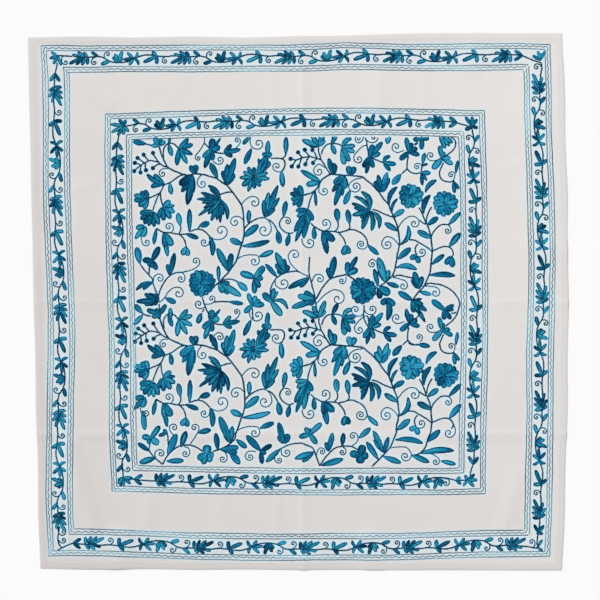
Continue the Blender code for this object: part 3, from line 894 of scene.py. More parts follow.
def embroider_near_row_foot(needle):
    """The foot of the near row, which spreads out differently above its border."""
    stem, petals, curl = needle.stem, needle.petals, needle.curl
    # Left of the main stem.
    petals((-266, -187), (-262.5, -221, 9))
    petals((-252, -234), (-237, -213, 9), (-267, -231, 10), (-257, -243.5, 8), (-239, -244, 11))
    stem((-253.5, -243), (-255, -255), (-245, -268), (-232, -279))
    petals((-255, -256), (-275, -242, 8))
    petals((-245, -268), (-272, -276, 10))
    curl((-235, -260.5), RIGHT, (-244, -267), (-245.5, -259), (-240, -254))
    stem((-232, -279), (-223, -263), (-210, -251), (-199, -246.5), (-186, -246), (-173, -250),
         (-163.5, -257))
    petals((-223, -262), (-208, -226, 12))
    stem((-222.5, -246), (-223, -231), (-224.5, -225))
    petals((-224.5, -225), (-239, -230, 6), (-231, -219.5, 7))
    curl((-212.5, -216), RIGHT, (-213, -229), (-219, -222), (-220.5, -214.5))
    petals((-200.5, -249), (-191.5, -221.5, 10))
    curl((-177.5, -216), LEFT, (-186, -246), (-178, -234.5), (-172, -224.5), (-169.5, -216))
    petals((-172, -224.5), (-148.5, -219.5, 9))
    curl((-193, -260.5), RIGHT, (-196, -248), (-188, -251), (-185.5, -258))
    petals((-225, -273.5), (-195, -272.5, 8.5))
    petals((-157, -261), (-155, -246, 14), (-172, -269.5, 11), (-163, -278, 11), (-149, -274, 11),
           (-144.5, -264, 10))
    stem((-107, -226), (-109, -236), (-120, -246), (-131, -252), (-138, -254), (-146, -257),
         width=MAIN_STEM_WIDTH)
    petals((-116, -242), (-135, -196, 12), (-112.5, -213, 9), (-126.5, -223, 9))
    petals((-137.5, -254), (-141, -224.5, 9))
    petals((-131, -253), (-102, -250, 10), (-104, -259, 9))
    petals((-117, -257), (-99.5, -278.5, 11))
    curl((-129, -269.5), RIGHT, (-133, -254), (-126, -257.5), (-121.5, -266))
    petals((-106, -236.5), (-87.5, -251, 9))
    petals((-64, -256), (-89, -229, 11), (-45, -245.5, 8), (-61.5, -278, 8), (-55, -261, 7))
    curl((-82.5, -266), LEFT, (-72, -257), (-85, -256.5), (-91, -264))
    petals((-31, -253), (-55, -275, 9))
    petals((-25, -242.5), (-33.5, -206, 10), (-16, -228, 12), (-33, -229, 10))
    stem((8, -243), (3, -242.5), (-8, -243.5), (-18.5, -246.5), (-31, -253))
    curl((-32.5, -271.5), LEFT, (-35, -258), (-40, -266), (-39.5, -272))
    curl((-19.5, -258.5), LEFT, (-28, -251), (-29, -260))
    # Right of the main stem.
    petals((27, -258), (-6, -269.5, 10), (7, -275, 8))
    petals((20, -227), (2, -232, 9), (12, -216, 8), (40.5, -208, 9), (32, -244, 9))
    stem((8, -243), (17, -247), (25, -251), (30, -262.5), (37, -281.5))
    curl((41, -257), RIGHT, (31.5, -266), (33, -256), (38, -250.5))
    stem((37, -281.5), (44, -271), (52, -261), (63.5, -251), (75.5, -248), (91, -248), (102, -254))
    petals((52.5, -256), (59.5, -224.5, 9), (47.5, -241, 8))
    petals((75.5, -248), (78, -224.5, 8))
    curl((94, -230.5), LEFT, (92, -248), (101, -240), (102.5, -231.5))
    petals((104.5, -233.5), (124.5, -216, 9))
    curl((75.5, -258), RIGHT, (74, -248.5), (81, -252), (82, -258))
    petals((40, -280.5), (78, -269.5, 10))
    petals((106, -263), (112, -246, 13), (89, -260, 12), (107, -277, 14), (120, -265, 12))
    stem((169, -221), (167, -228), (164.5, -234), (158, -249), (144, -265), (127, -282),
         width=MAIN_STEM_WIDTH)
    petals((147, -259), (128.5, -220.5, 9), (129.5, -236.5, 8), (155, -231.5, 8))
    petals((137, -270), (117, -240, 9))
    petals((146, -265.5), (176.5, -276.5, 9))
    petals((167, -237), (215, -243.5, 9, 4))
    curl((183.5, -265), RIGHT, (158, -251), (172, -249), (186.5, -250.5), (194, -261), turns=1.7)
    petals((195, -263), (225, -275.5, 9))
    stem((228, -223), (223, -233.5), (217, -251), (207, -261), (195, -263.5), width=MAIN_STEM_WIDTH)
    petals((222, -240), (243.5, -219.5, 9.5))
    petals((210, -260), (268, -255.5, 10, 3))
    curl((235.5, -274.5), RIGHT, (216, -260.5), (230.5, -261.5), (241.5, -270))
    petals((244.5, -273), (271, -279, 7.5))
    curl((258, -225), RIGHT, (266, -210), (269.5, -218), (268.5, -226))


def embroider_border_repeat(needle, start):
    """One repeat of a border, from a start along its side. Outwards is the second number's + side."""
    stem, petals, curl = needle.stem, needle.petals, needle.curl

    def at(run, out, *size):
        return (start + run, out, *size)

    stem(at(0, 4.5), at(10, 4.5), at(20, 3.5), at(30, 3), at(39, 3.5), at(49, 4), at(57, 2.5), at(63, -1),
         at(69, -4.5), at(77, -6.5), at(86, -7), at(95, -6), at(102, -4.5), at(108, -0.5), at(113, 0.5),
         at(119, 3), at(126, 5.5), at(136, 6.5), at(146, 5.5), at(157, 4), at(168, 3.5), at(176, 4.5))
    # A leafy spray along the stem.
    petals(at(31, 3), at(30.5, -9.5, 5.8))
    petals(at(27, 1), at(20.5, -10.5, 5.2))
    petals(at(22.5, 1), at(10.5, -10, 5.2))
    petals(at(19, 2), at(-1.5, -8.5, 5.6))
    petals(at(31, 2), at(24, 12, 5.4))
    petals(at(27, 3), at(13.5, 12.5, 5.2))
    petals(at(21, 2.5), at(3.5, 8, 5.4))
    petals(at(13, 2), at(28, -1, 6))
    # A forked sprig, two curls and a leaf.
    petals(at(49, 4), at(37, 12.5, 5.5))
    curl(at(42.5, -6), LEFT, at(47, 4), at(40.5, 1), at(37.2, -4.5), turns=1.15, width=2.7)
    curl(at(65.5, 7.5), RIGHT, at(66, -3), at(60.5, 0.5), at(59.6, 6.5), turns=1.15, width=2.7)
    petals(at(68.5, -5), at(54, -9, 6.5))
    # A bud, a star-shaped flower and an arrow-shaped leaf.
    petals(at(84, -6), at(74, 2.5, 6), at(78, 8.5, 6.5), at(91, 13, 6), at(92, 2.5, 6))
    stem(at(84, -4), at(84, -7))
    petals(at(111, 0), at(92.5, -1.5, 5.2), at(99, 10.5, 5.2), at(102.5, -11.5, 5.2))
    petals(at(111, 0), at(117, 11.5, 5, -2.5), at(119, -11, 5, 2.5))
    petals(at(151, 4), at(127, -6.5, 6.5), at(142.5, 12.5, 6), at(150.5, -9.5, 6.5))
    curl(at(165, -4), LEFT, at(166.5, 3.5), at(161.5, 0.5), at(159.6, -3.5), turns=1.15, width=2.7)


def embroider_last_sprig(needle, start, base, end, out):
    """The forked sprig that closes a side, and the vine from its last spray to the corner."""
    needle.stem((start + 30, 3.5), (base - 8, 2.5), (base, 1.5), ((base + end) / 2, out / 2), (end, out))
    needle.petals((base, 1.5), (base - 13, 10.5, 5.6))
    needle.petals((base, 1.5), (base - 14, -6.5, 5.6))


def embroider_outer_corner(needle, side):
    """A corner of the outer border: a star-shaped flower and a curl where the vine begins."""
    stem, petals, curl = needle.stem, needle.petals, needle.curl
    if side == "far":
        petals((6, 5), (-5, 12, 5), (-8, 0.5, 5.5), (-1, -9, 5.5), (13, -12, 5.2))
        stem((4, 5.5), (12, 5.5), (31, 4.5))
        curl((19.5, -5.5), LEFT, (16, 5), (13, 1), (13.5, -6), turns=1.15, width=2.6)
    elif side == "right":
        petals((3, 6), (-12.5, 13, 4.5), (-14, 1, 5.2), (-5.5, -7.5, 5.6), (-9.5, 7, 4.6))
        stem((8, 7), (16, 8), (24, 6), (32, 5))
        curl((14.5, -1), LEFT, (14, 7.5), (10, 4), (8.8, -1.5), turns=1.2, width=2.6)
    elif side == "near":
        petals((8, 7.5), (-1.5, 13.5, 5.2), (-1, -6, 4.4))
        petals((9, -17), (-2.5, -16, 5.2))
        stem((7, 8.5), (14, 8), (22, 6), (33, 5))
        curl((17.5, -2), LEFT, (15, 7.5), (12, 3), (12, -3), turns=1.2, width=2.6)
    else:
        stem((-5.5, -1.5), (-2, 3), (5, 5.5), (13, 5.5), (22, 3.5), (31, 1.5))
        curl((8, -3.5), LEFT, (8.5, 5), (3.5, 1), (2.8, -4), turns=1.15, width=2.6)
        curl((21.5, -4), LEFT, (21, 4.5), (16.5, 0.5), (16, -4.5), turns=1.15, width=2.6)


def embroider_inner_corner(needle, side):
    """A corner of the inner border: a round spray of leaves."""
    stem, petals, curl = needle.stem, needle.petals, needle.curl
    if side == "far":
        petals((12, 1.5), (-11, 4.5, 5.8), (-10, -9.5, 5.8), (1, -14.5, 5.8), (3, 13, 5.8),
               (11, -14, 5.6), (15, 12, 5.4), (20, -9.5, 5.4))
        stem((13, 0.5), (22, 1.5), (31, 3))
    elif side == "right":
        petals((4, 1), (-8.5, 10, 5.8), (-13, 1.5, 5.8), (-13, -10.5, 5.6), (7, 11.5, 5.4), (10, -11, 7))
        stem((6, 0.5), (12, 1.5), (20, 2.5), (28, 4))
    elif side == "near":
        petals((10, -1), (-1, 10.5, 5.6), (-7, -1, 5.8), (-2, -11, 5.6), (18, 9, 4.8), (15, -10, 5.6))
        petals((29, -1), (21.5, 5.5, 5.4), (23, -7, 5.8))
        stem((12, -1), (20, -1), (29, -1), (38, -3.5), (47, -6), (56, -7))
        curl((47.5, 2.5), RIGHT, (46, -5.5), (42, -2), (41.3, 3), turns=1.25, width=2.6)
    else:
        petals((4, 3.5), (-8, 12, 5.8), (-2, 12, 5.4), (-12, 8, 5), (-11, 2, 5.4), (-8, -10.5, 4.8),
               (1.5, -14.5, 6.5))
        stem((4, 2.5), (12, 2.5), (20, 3), (28, 2.5))


def band_wander(band, side, run):
    """How far outwards of its straight middle line a band is sewn, at a run along one side."""
    table = band["wander"][side]
    return np.interp(run, band["step"] * np.arange(len(table)), table)


def band_length(band, side):
    if side in ("far", "near"):
        return band["right"] - band["left"]
    return band["far"] - band["near"]


def band_place(band, side, points):
    """The place on the cloth of points given as a run along a side and a distance outwards.

    The sides run clockwise: +X along the far one, then -Y, -X and +Y, outwards to the left.
    """
    run = points[:, 0]
    out = points[:, 1] + band_wander(band, side, run)
    if side == "far":
        return np.column_stack([band["left"] + run, band["far"] + out])
    if side == "right":
        return np.column_stack([band["right"] + out, band["far"] - run])
    if side == "near":
        return np.column_stack([band["right"] - run, band["near"] - out])
    return np.column_stack([band["left"] - out, band["near"] + run])


def side_span(band, number, out):
    """Where a line that lies a distance outwards begins and ends on a side, so that corners join."""
    before, side, after = SIDES[number - 1], SIDES[number], SIDES[(number + 1) % 4]
    start = -out - band["wander"][before][-1]
    return start, band_length(band, side) + out + band["wander"][after][0]


# One chain link, as length along it, place across it and height, each a share of the link's own.
LINK_POINTS = np.array([
    (0.0, -0.66, -0.10), (0.0, 0.0, 0.55), (0.0, 0.66, -0.10),
    (0.38, -0.84, -0.10), (0.38, -0.45, 0.95), (0.38, 0.0, 0.62), (0.38, 0.45, 0.95), (0.38, 0.84, -0.10),
    (0.84, -1.00, -0.10), (0.84, -0.58, 1.00), (0.84, 0.0, 0.50), (0.84, 0.58, 1.00), (0.84, 1.00, -0.10),
    (1.18, 0.0, 0.20),
])
LINK_FACES = [
    (0, 1, 4, 3), (1, 5, 4), (1, 6, 5), (1, 2, 7, 6),
    (3, 4, 9, 8), (4, 5, 10, 9), (5, 6, 11, 10), (6, 7, 12, 11),
    (8, 9, 13), (9, 10, 13), (10, 11, 13), (11, 12, 13),
]


def joined_piece(name, points, corners, sizes, colours, strand, material):
    """One mesh from arrays: its points, its faces' corners and their sizes, and each point's shade
    and hue and its place along and across its strand."""
    mesh = bpy.data.meshes.new(name)
    mesh.vertices.add(len(points))
    mesh.vertices.foreach_set("co", points.ravel())
    mesh.loops.add(len(corners))
    mesh.loops.foreach_set("vertex_index", corners)
    mesh.polygons.add(len(sizes))
    mesh.polygons.foreach_set("loop_start", np.concatenate([[0], np.cumsum(sizes)[:-1]]))
    mesh.update(calc_edges=True)
    mesh.validate()
    mesh.shade_smooth()
    for label, values in zip(("shade", "hue"), colours):
        mesh.attributes.new(label, "FLOAT", "POINT").data.foreach_set("value", values)
    spread = points[:, :2] / (2 * HALF_WIDTH, 2 * HALF_LENGTH) + 0.5
    for label, uv in (("OFBake", spread), ("thread", strand)):
        mesh.uv_layers.new(name=label).data.foreach_set("uv", uv[corners].ravel())
    mesh.uv_layers["OFBake"].active_render = True
    return add_piece(name, mesh, material)


def stitched_piece(name, rows, material, relief=LINK_RELIEF):
    """One joined mesh of chain links, from rows of start, end, width, shade and hue."""
    links = np.vstack(rows)
    count = len(links)
    start, end = links[:, 0:2], links[:, 2:4]
    run = end - start
    side = np.column_stack([-run[:, 1], run[:, 0]]) / np.maximum(np.hypot(*run.T), 1e-6)[:, None]
    start = start + side * chance.normal(0, LINK_STRAY, count)[:, None]
    half = links[:, 4] / 2 * chance.normal(1, WIDTH_PLAY, count)
    height = relief * chance.normal(1, HEIGHT_PLAY, count)
    along, across, up = LINK_POINTS.T
    flat = start[:, None, :] + run[:, None, :] * along[None, :, None]
    flat = (flat + side[:, None, :] * (half[:, None] * across)[:, :, None]).reshape(-1, 2) * MM
    rise = cloth_top(flat[:, 0], flat[:, 1]) + (height[:, None] * up).ravel() * MM
    points = np.column_stack([flat, rise])
    sizes = np.tile([len(face) for face in LINK_FACES], count)
    corners = np.concatenate([face[::-1] for face in LINK_FACES])
    corners = (corners[None, :] + len(LINK_POINTS) * np.arange(count)[:, None]).ravel()
    colours = [np.repeat(links[:, column], len(LINK_POINTS)) for column in (5, 6)]
    strand = np.column_stack([np.tile(along, count), np.tile(across * 0.5 + 0.5, count)])
    return joined_piece(name, points, corners, sizes, colours, strand, material)


def padding_piece(name, patches, material):
    """The flat underlay stitches beneath the petals' rows, as one joined mesh of narrow strips."""
    points, quads, shades, hues = [], [], [], []
    used = 0
    for patch, shade, hue in patches:
        flat = patch.reshape(-1, 2) * MM
        height = cloth_top(flat[:, 0], flat[:, 1]) + chance.uniform(*UNDERLAY_HEIGHT) * MM
        points.append(np.column_stack([flat, height]))
        first = used + 2 * np.arange(len(patch) - 1)
        quads.append(np.column_stack([first, first + 1, first + 3, first + 2]))
        shades.append(shade.ravel())
        hues.append(np.full(len(flat), hue))
        used += len(flat)
    points = np.vstack(points)
    corners = np.vstack(quads).ravel()
    sizes = np.full(len(corners) // 4, 4)
    colours = [np.concatenate(shades), np.concatenate(hues)]
    strand = points[:, :2] / (MM * LINK_PITCH)
    return joined_piece(name, points, corners, sizes, colours, strand, material)


def add_piece(name, mesh, material):
    """A piece at the origin, its place in its mesh."""
    mesh.materials.append(material)
    piece = bpy.data.objects.new(name, mesh)
    bpy.context.scene.collection.objects.link(piece)
    return piece


def grid_marks(length, lines):
    """Distances along one direction where the cloth's mesh has a line."""
    marks = sorted(lines + [length - line for line in lines])
    parts = []
    for start, end in zip(marks, marks[1:]):
        parts.append(np.linspace(start, end, max(1, round((end - start) / GRID_STEP)), endpoint=False))
    return np.concatenate(parts + [[length]]) / length


def make_ground(material):
    """The cloth: a closed thin shell whose underside follows the folds, with a turned hem on top."""
    lines = [0.0, EDGE_ROUNDING_WIDTH, HEM_WIDTH - HEM_FOLD, HEM_WIDTH, HEM_WIDTH + HEM_SHOULDER]
    across_lines = grid_marks(2 * HALF_WIDTH, lines)
    along_lines = grid_marks(2 * HALF_LENGTH, lines)
    columns, rows = len(across_lines) - 1, len(along_lines) - 1
    shape = bmesh.new()
    bmesh.ops.create_grid(shape, x_segments=columns, y_segments=rows, size=0.5)
    below = shape.verts[:]
    flat = np.array([point.co[:2] for point in below])
    across = across_lines[np.rint((flat[:, 0] + 0.5) * columns).astype(int)]
    along = along_lines[np.rint((flat[:, 1] + 0.5) * rows).astype(int)]
    x, y = place_on_table(across, along)
    bottom = lift(x, y)
    from_edge = np.minimum(np.minimum(across, 1 - across) * 2 * HALF_WIDTH,
                           np.minimum(along, 1 - along) * 2 * HALF_LENGTH)
    hem = HEM_RELIEF * (1 - smooth_step((from_edge - HEM_WIDTH) / HEM_SHOULDER))
    puckers = PUCKER_HEIGHT * np.sin(across * PUCKER_RATE) * np.sin(along * PUCKER_RATE)
    top = bottom + CLOTH_THICKNESS + hem + puckers * (from_edge < PUCKER_REACH)
    on_edge = from_edge < 1e-6
    bottom = np.where(on_edge, bottom + EDGE_ROUNDING, bottom)
    top = np.where(on_edge, top - EDGE_ROUNDING, top)
    for point, place in zip(below, zip(x, y, bottom)):
        point.co = place
    height = {(point.co.x, point.co.y): place for point, place in zip(below, top)}
    raised = bmesh.ops.extrude_face_region(shape, geom=shape.faces[:], use_keep_orig=True)
    for part in raised["geom"]:
        if isinstance(part, bmesh.types.BMVert):
            part.co.z = height[part.co.x, part.co.y]
    bmesh.ops.recalc_face_normals(shape, faces=shape.faces[:])
    shape.normal_update()
    sheet = shape.loops.layers.uv.new("OFBake")
    for face in shape.faces:
        half = 0.25 if face.normal.z > 0 else 0.75
        for corner in face.loops:
            point = corner.vert.co
            u = half + 0.49 * point.x / (2 * HALF_WIDTH)
            corner[sheet].uv = (u, 0.5 + 0.98 * point.y / (2 * HALF_LENGTH) + point.z)
    mesh = bpy.data.meshes.new("cloth_ground")
    shape.to_mesh(mesh)
    shape.free()
    mesh.shade_smooth()
    mesh.set_sharp_from_angle(angle=math.radians(60))
    rim = 1 - smooth_step(from_edge / RIM_WIDTH)
    mesh.attributes.new("rim", "FLOAT", "POINT").data.foreach_set("value", np.concatenate([rim, rim]))
    return add_piece("cloth_ground", mesh, material)


def stretched(place, starts):
    """A side's placing for its repeats, which were sewn a little longer or shorter than one another."""
    beyond = 200
    last = BORDER_REPEAT * (len(starts) - 1)
    chart = [-beyond, *(BORDER_REPEAT * number for number in range(len(starts))), last + beyond]
    cloth = [starts[0] - beyond, *starts, starts[-1] + beyond]
    return lambda points: place(np.column_stack([np.interp(points[:, 0], chart, cloth), points[:, 1]]))


def rail_rows(cover, band):
    """The two rails of a band. Each is three rows: straight, waved and straight."""
    rows = []
    outs = [BAND_HALF_WIDTH - inset for inset in RAIL_ROWS]
    outs += [inset - BAND_HALF_WIDTH for inset in RAIL_ROWS]
    for row, out in enumerate(outs):
        for number, side in enumerate(SIDES):
            start, end = side_span(band, number, out)
            run = np.arange(start, end, 0.8)
            wander = 0.35 * np.sin(run / 37 + chance.uniform(0, 6)) + 0.2 * np.sin(run / 11 + row)
            waved = row % 3 == 1
            if waved:
                wave = np.sin(run * 2 * math.pi / RAIL_WAVE_LENGTH + chance.uniform(0, 6))
                wander = wander + RAIL_WAVE * wave
            holes = evenly(band_place(band, side, np.column_stack([run, out + wander])), RAIL_PITCH)
            cover.mark(holes)
            count = len(holes) - 1
            place = np.arange(count)
            patch = np.sin(place * 0.047 + chance.uniform(0, 6))
            patch = patch + 0.7 * np.sin(place * 0.113 + chance.uniform(0, 6))
            shade = RAIL_SHADE + 0.12 * waved + RAIL_PATCHES * patch + chance.normal(0, 0.04, count)
            width = np.full(count, RAIL_THREAD - 0.3 * waved)
            rows.append(np.column_stack([holes[:-1], holes[1:], width, shade, shade]))
    return rows


def border_rows(cover, band, corner, padding):
    """The vine of one band on all four sides: corner flower, repeats and closing sprig."""
    rows = []
    for side in SIDES:
        length = band_length(band, side)
        place = partial(band_place, band, side)
        starts = [spray - SPRAY_LEAD for spray in band["sprays"][side]]
        last = BORDER_REPEAT * (len(starts) - 1)
        begin = Needlework(cover, place)
        corner(begin, side)
        run = Needlework(cover, stretched(place, starts))
        sprig, past, out = band["closing"][side]
        embroider_last_sprig(run, last, last + sprig, length - starts[-1] + last + past, out)
        run.first_run, run.last_run = band["first"][side], last + SPRAY_END
        for number in range(len(starts)):
            embroider_border_repeat(run, BORDER_REPEAT * number)
        for needle in (begin, run):
            needle.narrow_leaves = False
            needle.sew_petals()
            padding += needle.patches
            for group in needle.links.values():
                rows += group
    return rows


def hem_rows():
    """Small stitches all round, just outside the hem's inner fold."""
    inset = HEM_WIDTH - HEM_STITCH_INSET
    corners = [(inset, inset), (inset, 2 * HALF_LENGTH - inset),
               (2 * HALF_WIDTH - inset, 2 * HALF_LENGTH - inset), (2 * HALF_WIDTH - inset, inset)]
    rows = []
    for start, end in zip(corners, corners[1:] + corners[:1]):
        share = np.linspace(0, 1, 400)[:, None]
        line = np.array(start) + (np.array(end) - start) * share
        line = line + 0.0003 * np.sin(share * 31 + 1) + 0.00015 * np.sin(share * 110)
        x, y = place_on_table(line[:, 0] / (2 * HALF_WIDTH), line[:, 1] / (2 * HALF_LENGTH))
        holes = evenly(np.column_stack([x, y]) / MM, HEM_PITCH)
        begin = holes[:-1]
        finish = begin + (holes[1:] - begin) * HEM_STITCH_SHARE
        middling = np.full(len(begin), 0.5)
        rows.append(np.column_stack([begin, finish, np.full(len(begin), HEM_THREAD), middling, middling]))
    return rows


class Value:
    """A shader value, so that node maths reads as plain arithmetic."""

    def __init__(self, paint, socket):
        self.paint, self.socket = paint, socket

    def __add__(self, other):
        return self.paint.maths("ADD", self, other)

    def __radd__(self, other):
        return self.paint.maths("ADD", other, self)

    def __sub__(self, other):
        return self.paint.maths("SUBTRACT", self, other)

    def __rsub__(self, other):
        return self.paint.maths("SUBTRACT", other, self)

    def __mul__(self, other):
        return self.paint.maths("MULTIPLY", self, other)

    def __rmul__(self, other):
        return self.paint.maths("MULTIPLY", other, self)

    def __truediv__(self, other):
        return self.paint.maths("DIVIDE", self, other)

    def __rtruediv__(self, other):
        return self.paint.maths("DIVIDE", other, self)

    def __abs__(self):
        return self.paint.maths("ABSOLUTE", self)


class Paint:
    """A material's node tree, built with short calls."""

    def __init__(self, name, roughness):
        self.material = bpy.data.materials.new(name)
        self.material.use_nodes = True
        self.tree = self.material.node_tree
        self.shader = self.tree.nodes["Principled BSDF"]
        self.shader.inputs["Roughness"].default_value = roughness
        self.shader.inputs["Metallic"].default_value = 0.0

    def node(self, kind, settings, inputs):
        """A node of a type, with its settings first and then its sockets' values or links."""
        made = self.tree.nodes.new(kind)
        for name, setting in settings.items():
            setattr(made, name, setting)
        for socket, value in inputs.items():
            self.feed(made.inputs[socket], value)
        return made

    def feed(self, socket, value):
        if isinstance(value, Value):
            self.tree.links.new(value.socket, socket)
        elif isinstance(value, tuple):
            socket.default_value = (*value, 1.0)
        else:
            socket.default_value = value

    def maths(self, operation, *values):
        made = self.node("ShaderNodeMath", {"operation": operation}, dict(enumerate(values)))
        return Value(self, made.outputs[0])

    def lesser(self, first, second):
        return self.maths("MINIMUM", first, second)

    def sine(self, value):
        return self.maths("SINE", value)

    def attribute(self, name):
        made = self.node("ShaderNodeAttribute", {"attribute_name": name}, {})
        return Value(self, made.outputs["Fac"])

    def own_space(self):
        """Where a point lies in the piece's own space, in metres."""
        coordinates = self.node("ShaderNodeTexCoord", {}, {})
        return Value(self, coordinates.outputs["Object"])

    def parts(self, vector):
        """The first two parts of a vector."""
        split = self.node("ShaderNodeSeparateXYZ", {}, {"Vector": vector})
        return [Value(self, split.outputs[axis]) for axis in "XY"]

    def noise(self, scale, detail=2.0):
        inputs = {"Vector": self.own_space(), "Scale": scale, "Detail": detail}
        made = self.node("ShaderNodeTexNoise", {}, inputs)
        return Value(self, made.outputs["Fac"])

    def mix(self, share, first, second):
        made = self.node("ShaderNodeMix", {"data_type": "RGBA"}, {"Factor": share, 6: first, 7: second})
        return Value(self, made.outputs[2])

    def shades(self, share, *stops):
        """A colour read from a row of places and colours."""
        made = self.node("ShaderNodeValToRGB", {}, {"Fac": share})
        ramp = made.color_ramp
        for number, (place, colour) in enumerate(stops):
            stop = ramp.elements[number] if number < 2 else ramp.elements.new(place)
            stop.position, stop.color = place, (*colour, 1.0)
        return Value(self, made.outputs["Color"])

    def colour(self, value):
        self.feed(self.shader.inputs["Base Color"], value)

    def bump(self, height, strength, distance):
        inputs = {"Height": height, "Strength": strength, "Distance": distance}
        made = self.node("ShaderNodeBump", {}, inputs)
        self.feed(self.shader.inputs["Normal"], Value(self, made.outputs["Normal"]))


# Shades from dark to light, the two ends first, as places along a row and colours.
BLUE_SHADES = [
    (0.0, (0.001, 0.012, 0.035)), (1.0, (0.044, 0.440, 0.665)), (0.25, (0.001, 0.031, 0.082)),
    (0.5, (0.002, 0.095, 0.215)), (0.75, (0.006, 0.225, 0.422)),
]
TEAL_SHADES = [
    (0.0, (0.001, 0.016, 0.032)), (1.0, (0.055, 0.400, 0.490)), (0.25, (0.001, 0.038, 0.074)),
    (0.5, (0.002, 0.112, 0.180)), (0.75, (0.008, 0.210, 0.300)),
]
RAIL_SHADES = [
    (0.0, (0.034, 0.072, 0.108)), (1.0, (0.235, 0.550, 0.650)), (0.35, (0.060, 0.142, 0.205)),
    (0.7, (0.130, 0.315, 0.405)),
]
COTTON_COLOUR = (0.826, 0.792, 0.770)
COTTON_DARKER = (0.600, 0.570, 0.556)
DYED_COTTON = (0.640, 0.860, 0.965)
CREAM_THREAD = (0.72, 0.69, 0.66)
CREAM_DARKER = (0.62, 0.59, 0.55)
FLOOR_COLOUR = (0.93, 0.93, 0.93)

# The weave, in radians a metre: its threads lie about 0.9 mm apart.
WARP_RATE = 7000.0
WEFT_RATE = 6500.0

# The light: how strong the room's is and the window's, and how many degrees wide the window is.
ROOM_LIGHT = 0.56
WINDOW_LIGHT = 2.1
WINDOW_WIDTH = 24
WINDOW_PLACE = Vector((-1.0, 1.2, 1.6))

# The photo's camera, in millimetres for the lens and its film and in metres for its place.
LENS = 140.08
FILM_WIDTH = 36.0
CAMERA_PLACE = (0.0033, 0.0026, 4.0)


def thread_material(name, *ramps):
    """Soft twisted cotton thread in shades along each row, with a twist in its bump."""
    paint = Paint(name, 0.55)
    shade = paint.attribute("shade") + (paint.noise(900.0) - 0.5) * 0.16
    colour = paint.shades(shade, *ramps[0])
    if len(ramps) > 1:
        colour = paint.mix(paint.attribute("hue"), colour, paint.shades(shade, *ramps[1]))
    paint.colour(colour)
    paint.shader.inputs["Specular IOR Level"].default_value = 0.04
    strand = paint.node("ShaderNodeUVMap", {"uv_map": "thread"}, {})
    along, across = paint.parts(Value(paint, strand.outputs["UV"]))
    from_middle = abs(across - 0.5)
    twist = paint.sine(along * 26.0 + from_middle * 22.0) * 0.5 + 0.5
    paint.bump(twist, 0.55, 0.00025)
    return paint.material


def cotton_material(name, colour, darker):
    """Plain-woven cotton with uneven threads and slightly uneven tone, and painted shade: darker towards
    the left and near side, darker along each crease's top, and a little darker in step with the weave.
    """
    paint = Paint(name, 0.92)
    x, y = paint.parts(paint.own_space())
    slub = paint.noise(260.0, 3.0)
    warp = paint.sine((x + slub * 0.0002) * WARP_RATE)
    weft = paint.sine((y + slub * 0.0002) * WEFT_RATE)
    # The weave's pattern is the bump's height, and below it also darkens the tone a little in step with
    # the weave, as painted shade between its threads.
    weave = warp * weft * 0.5 + 0.5
    # Painted shade: the tone grows towards the left (-x) and the near side (-y), so the cloth is painted
    # darker there. The noise and slub terms are the cotton's own uneven tone.
    tone = paint.noise(7.0, 3.0) * 0.17 + slub * 0.15 + weave * 0.045 + 0.22 - x * 0.30 - y * 0.35
    # Painted shade: a darker line along the top of each crease.
    for crease in CREASES:
        across = y if crease["runs"] == ACROSS else x
        tone = tone + (1.0 - paint.lesser(abs(across - crease["at"]) / CREASE_SHADE_HALF_WIDTH, 1.0)) * 0.13
    tone = tone + paint.attribute("rim") * 0.17
    plain = paint.mix(tone, colour, darker)
    paint.colour(paint.mix(paint.attribute("dyed") * 0.88, plain, DYED_COTTON))
    paint.shader.inputs["Specular IOR Level"].default_value = 0.2
    paint.bump(weave + slub * 0.8 + paint.noise(38.0, 4.0) * 2.2, 0.35, 0.0005)
    return paint.material


def floor_material():
    paint = Paint("plain pale floor", 0.9)
    paint.colour(FLOOR_COLOUR)
    return paint.material


def sew_field(cover, padding):
    """Both rows of the field's repeat, and what joins them."""
    def near_row(points):
        sway = 1.2 * np.sin(points[:, 1] / 41 + points[:, 0] / 67)
        return points + np.column_stack([sway, ROW_DISTANCE + 0.9 * np.sin(points[:, 0] / 53)])

    far = Needlework(cover, high=FIELD_HIGH)
    near = Needlework(cover, near_row, low=FIELD_LOW)
    between = Needlework(cover)
    foot = Needlework(cover, low=FIELD_LOW)
    near.lowest = FOOT_BEGINS
    embroider_far_row_extras(far)
    for needle in (far, near):
        embroider_left_half(needle)
        embroider_right_half(needle)
    embroider_between_rows(between)
    embroider_near_row_foot(foot)
    for needle in (far, between, foot, near):
        needle.sew_petals()
        padding += needle.patches
    pieces = {}
    for group in ("vines", "leaves", "flowers"):
        pieces[f"field_{group}_far"] = far.links[group]
        pieces[f"field_{group}_near"] = near.links[group] + between.links[group] + foot.links[group]
    return pieces


def tint_beside_stitches(ground, cover):
    """Where the cloth lies close to stitches, it takes a little of their dye."""
    points = np.array([point.co[:2] for point in ground.data.vertices]) / MM
    dyed = ground.data.attributes.new("dyed", "FLOAT", "POINT")
    dyed.data.foreach_set("value", np.clip(cover.closeness(points) * 2.8, 0, 1))


def make_floor():
    mesh = bpy.data.meshes.new("floor")
    shape = bmesh.new()
    bmesh.ops.create_grid(shape, x_segments=1, y_segments=1, size=4.0)
    shape.to_mesh(mesh)
    shape.free()
    return add_piece("floor", mesh, floor_material())


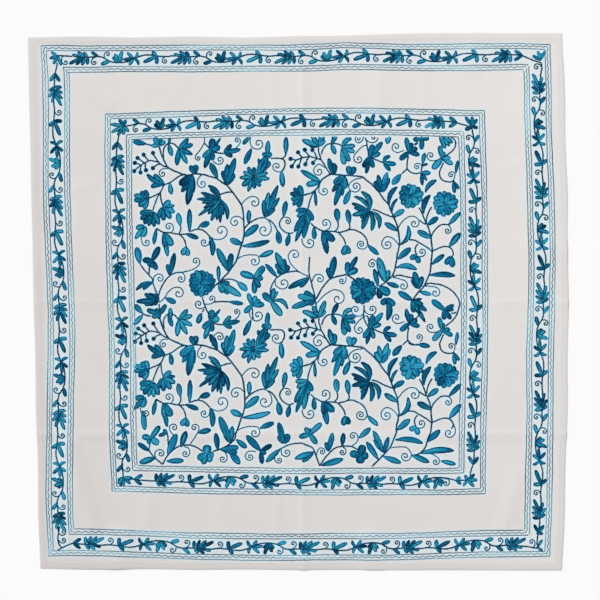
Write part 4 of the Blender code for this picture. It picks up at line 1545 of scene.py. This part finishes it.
def light_room():
    """Even light from all round, with a soft window beyond the far left corner."""
    world = bpy.data.worlds.new("plain light room")
    world.use_nodes = True
    world.node_tree.nodes["Background"].inputs["Color"].default_value = (1.0, 1.0, 1.0, 1.0)
    world.node_tree.nodes["Background"].inputs["Strength"].default_value = ROOM_LIGHT
    bpy.context.scene.world = world
    lamp = bpy.data.lights.new("window light", "SUN")
    lamp.energy = WINDOW_LIGHT
    lamp.angle = math.radians(WINDOW_WIDTH)
    window = bpy.data.objects.new("window light", lamp)
    window.location = WINDOW_PLACE
    window.rotation_euler = (-WINDOW_PLACE).to_track_quat("-Z", "Y").to_euler()
    bpy.context.scene.collection.objects.link(window)


def place_camera():
    """The photo's camera, straight above the middle of the cloth."""
    lens = bpy.data.cameras.new("photo camera")
    lens.type = "PERSP"
    lens.lens = LENS
    lens.sensor_width = FILM_WIDTH
    lens.clip_end = 20.0
    camera = bpy.data.objects.new("photo camera", lens)
    camera.location = CAMERA_PLACE
    bpy.context.scene.collection.objects.link(camera)
    bpy.context.scene.camera = camera
    bpy.context.scene.view_settings.view_transform = "Standard"


ground = make_ground(cotton_material("unbleached cotton", COTTON_COLOUR, COTTON_DARKER))
cream_thread = cotton_material("cream sewing thread", CREAM_THREAD, CREAM_DARKER)
dyed_thread = thread_material("variegated embroidery thread", BLUE_SHADES, TEAL_SHADES)
rail_thread = thread_material("rail thread", RAIL_SHADES)

hem_stitching = stitched_piece("hem_stitching", hem_rows(), cream_thread, HEM_RELIEF_OF_THREAD)
hem_stitching.data.transform(Matrix.Translation((0.0, 0.0, HEM_RELIEF)))

cover = Cover()
padding = []
rails = [stitched_piece(name, rail_rows(cover, band), rail_thread, RAIL_RELIEF)
         for name, band in (("outer_band_rails", OUTER_BAND), ("inner_band_rails", INNER_BAND))]
outer_vine = border_rows(cover, OUTER_BAND, embroider_outer_corner, padding)
outer_vine = stitched_piece("outer_band_vine", outer_vine, dyed_thread)
inner_vine = border_rows(cover, INNER_BAND, embroider_inner_corner, padding)
inner_vine = stitched_piece("inner_band_vine", inner_vine, dyed_thread)
field = [stitched_piece(name, rows, dyed_thread) for name, rows in sew_field(cover, padding).items()]
underlay = padding_piece("underlay_stitches", padding, dyed_thread)
tint_beside_stitches(ground, cover)
sewn = [hem_stitching, *rails, outer_vine, inner_vine, underlay, *field]

floor = make_floor()
light_room()
place_camera()

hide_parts("cloth")
for piece in [ground, *sewn]:
    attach(piece, BODY)
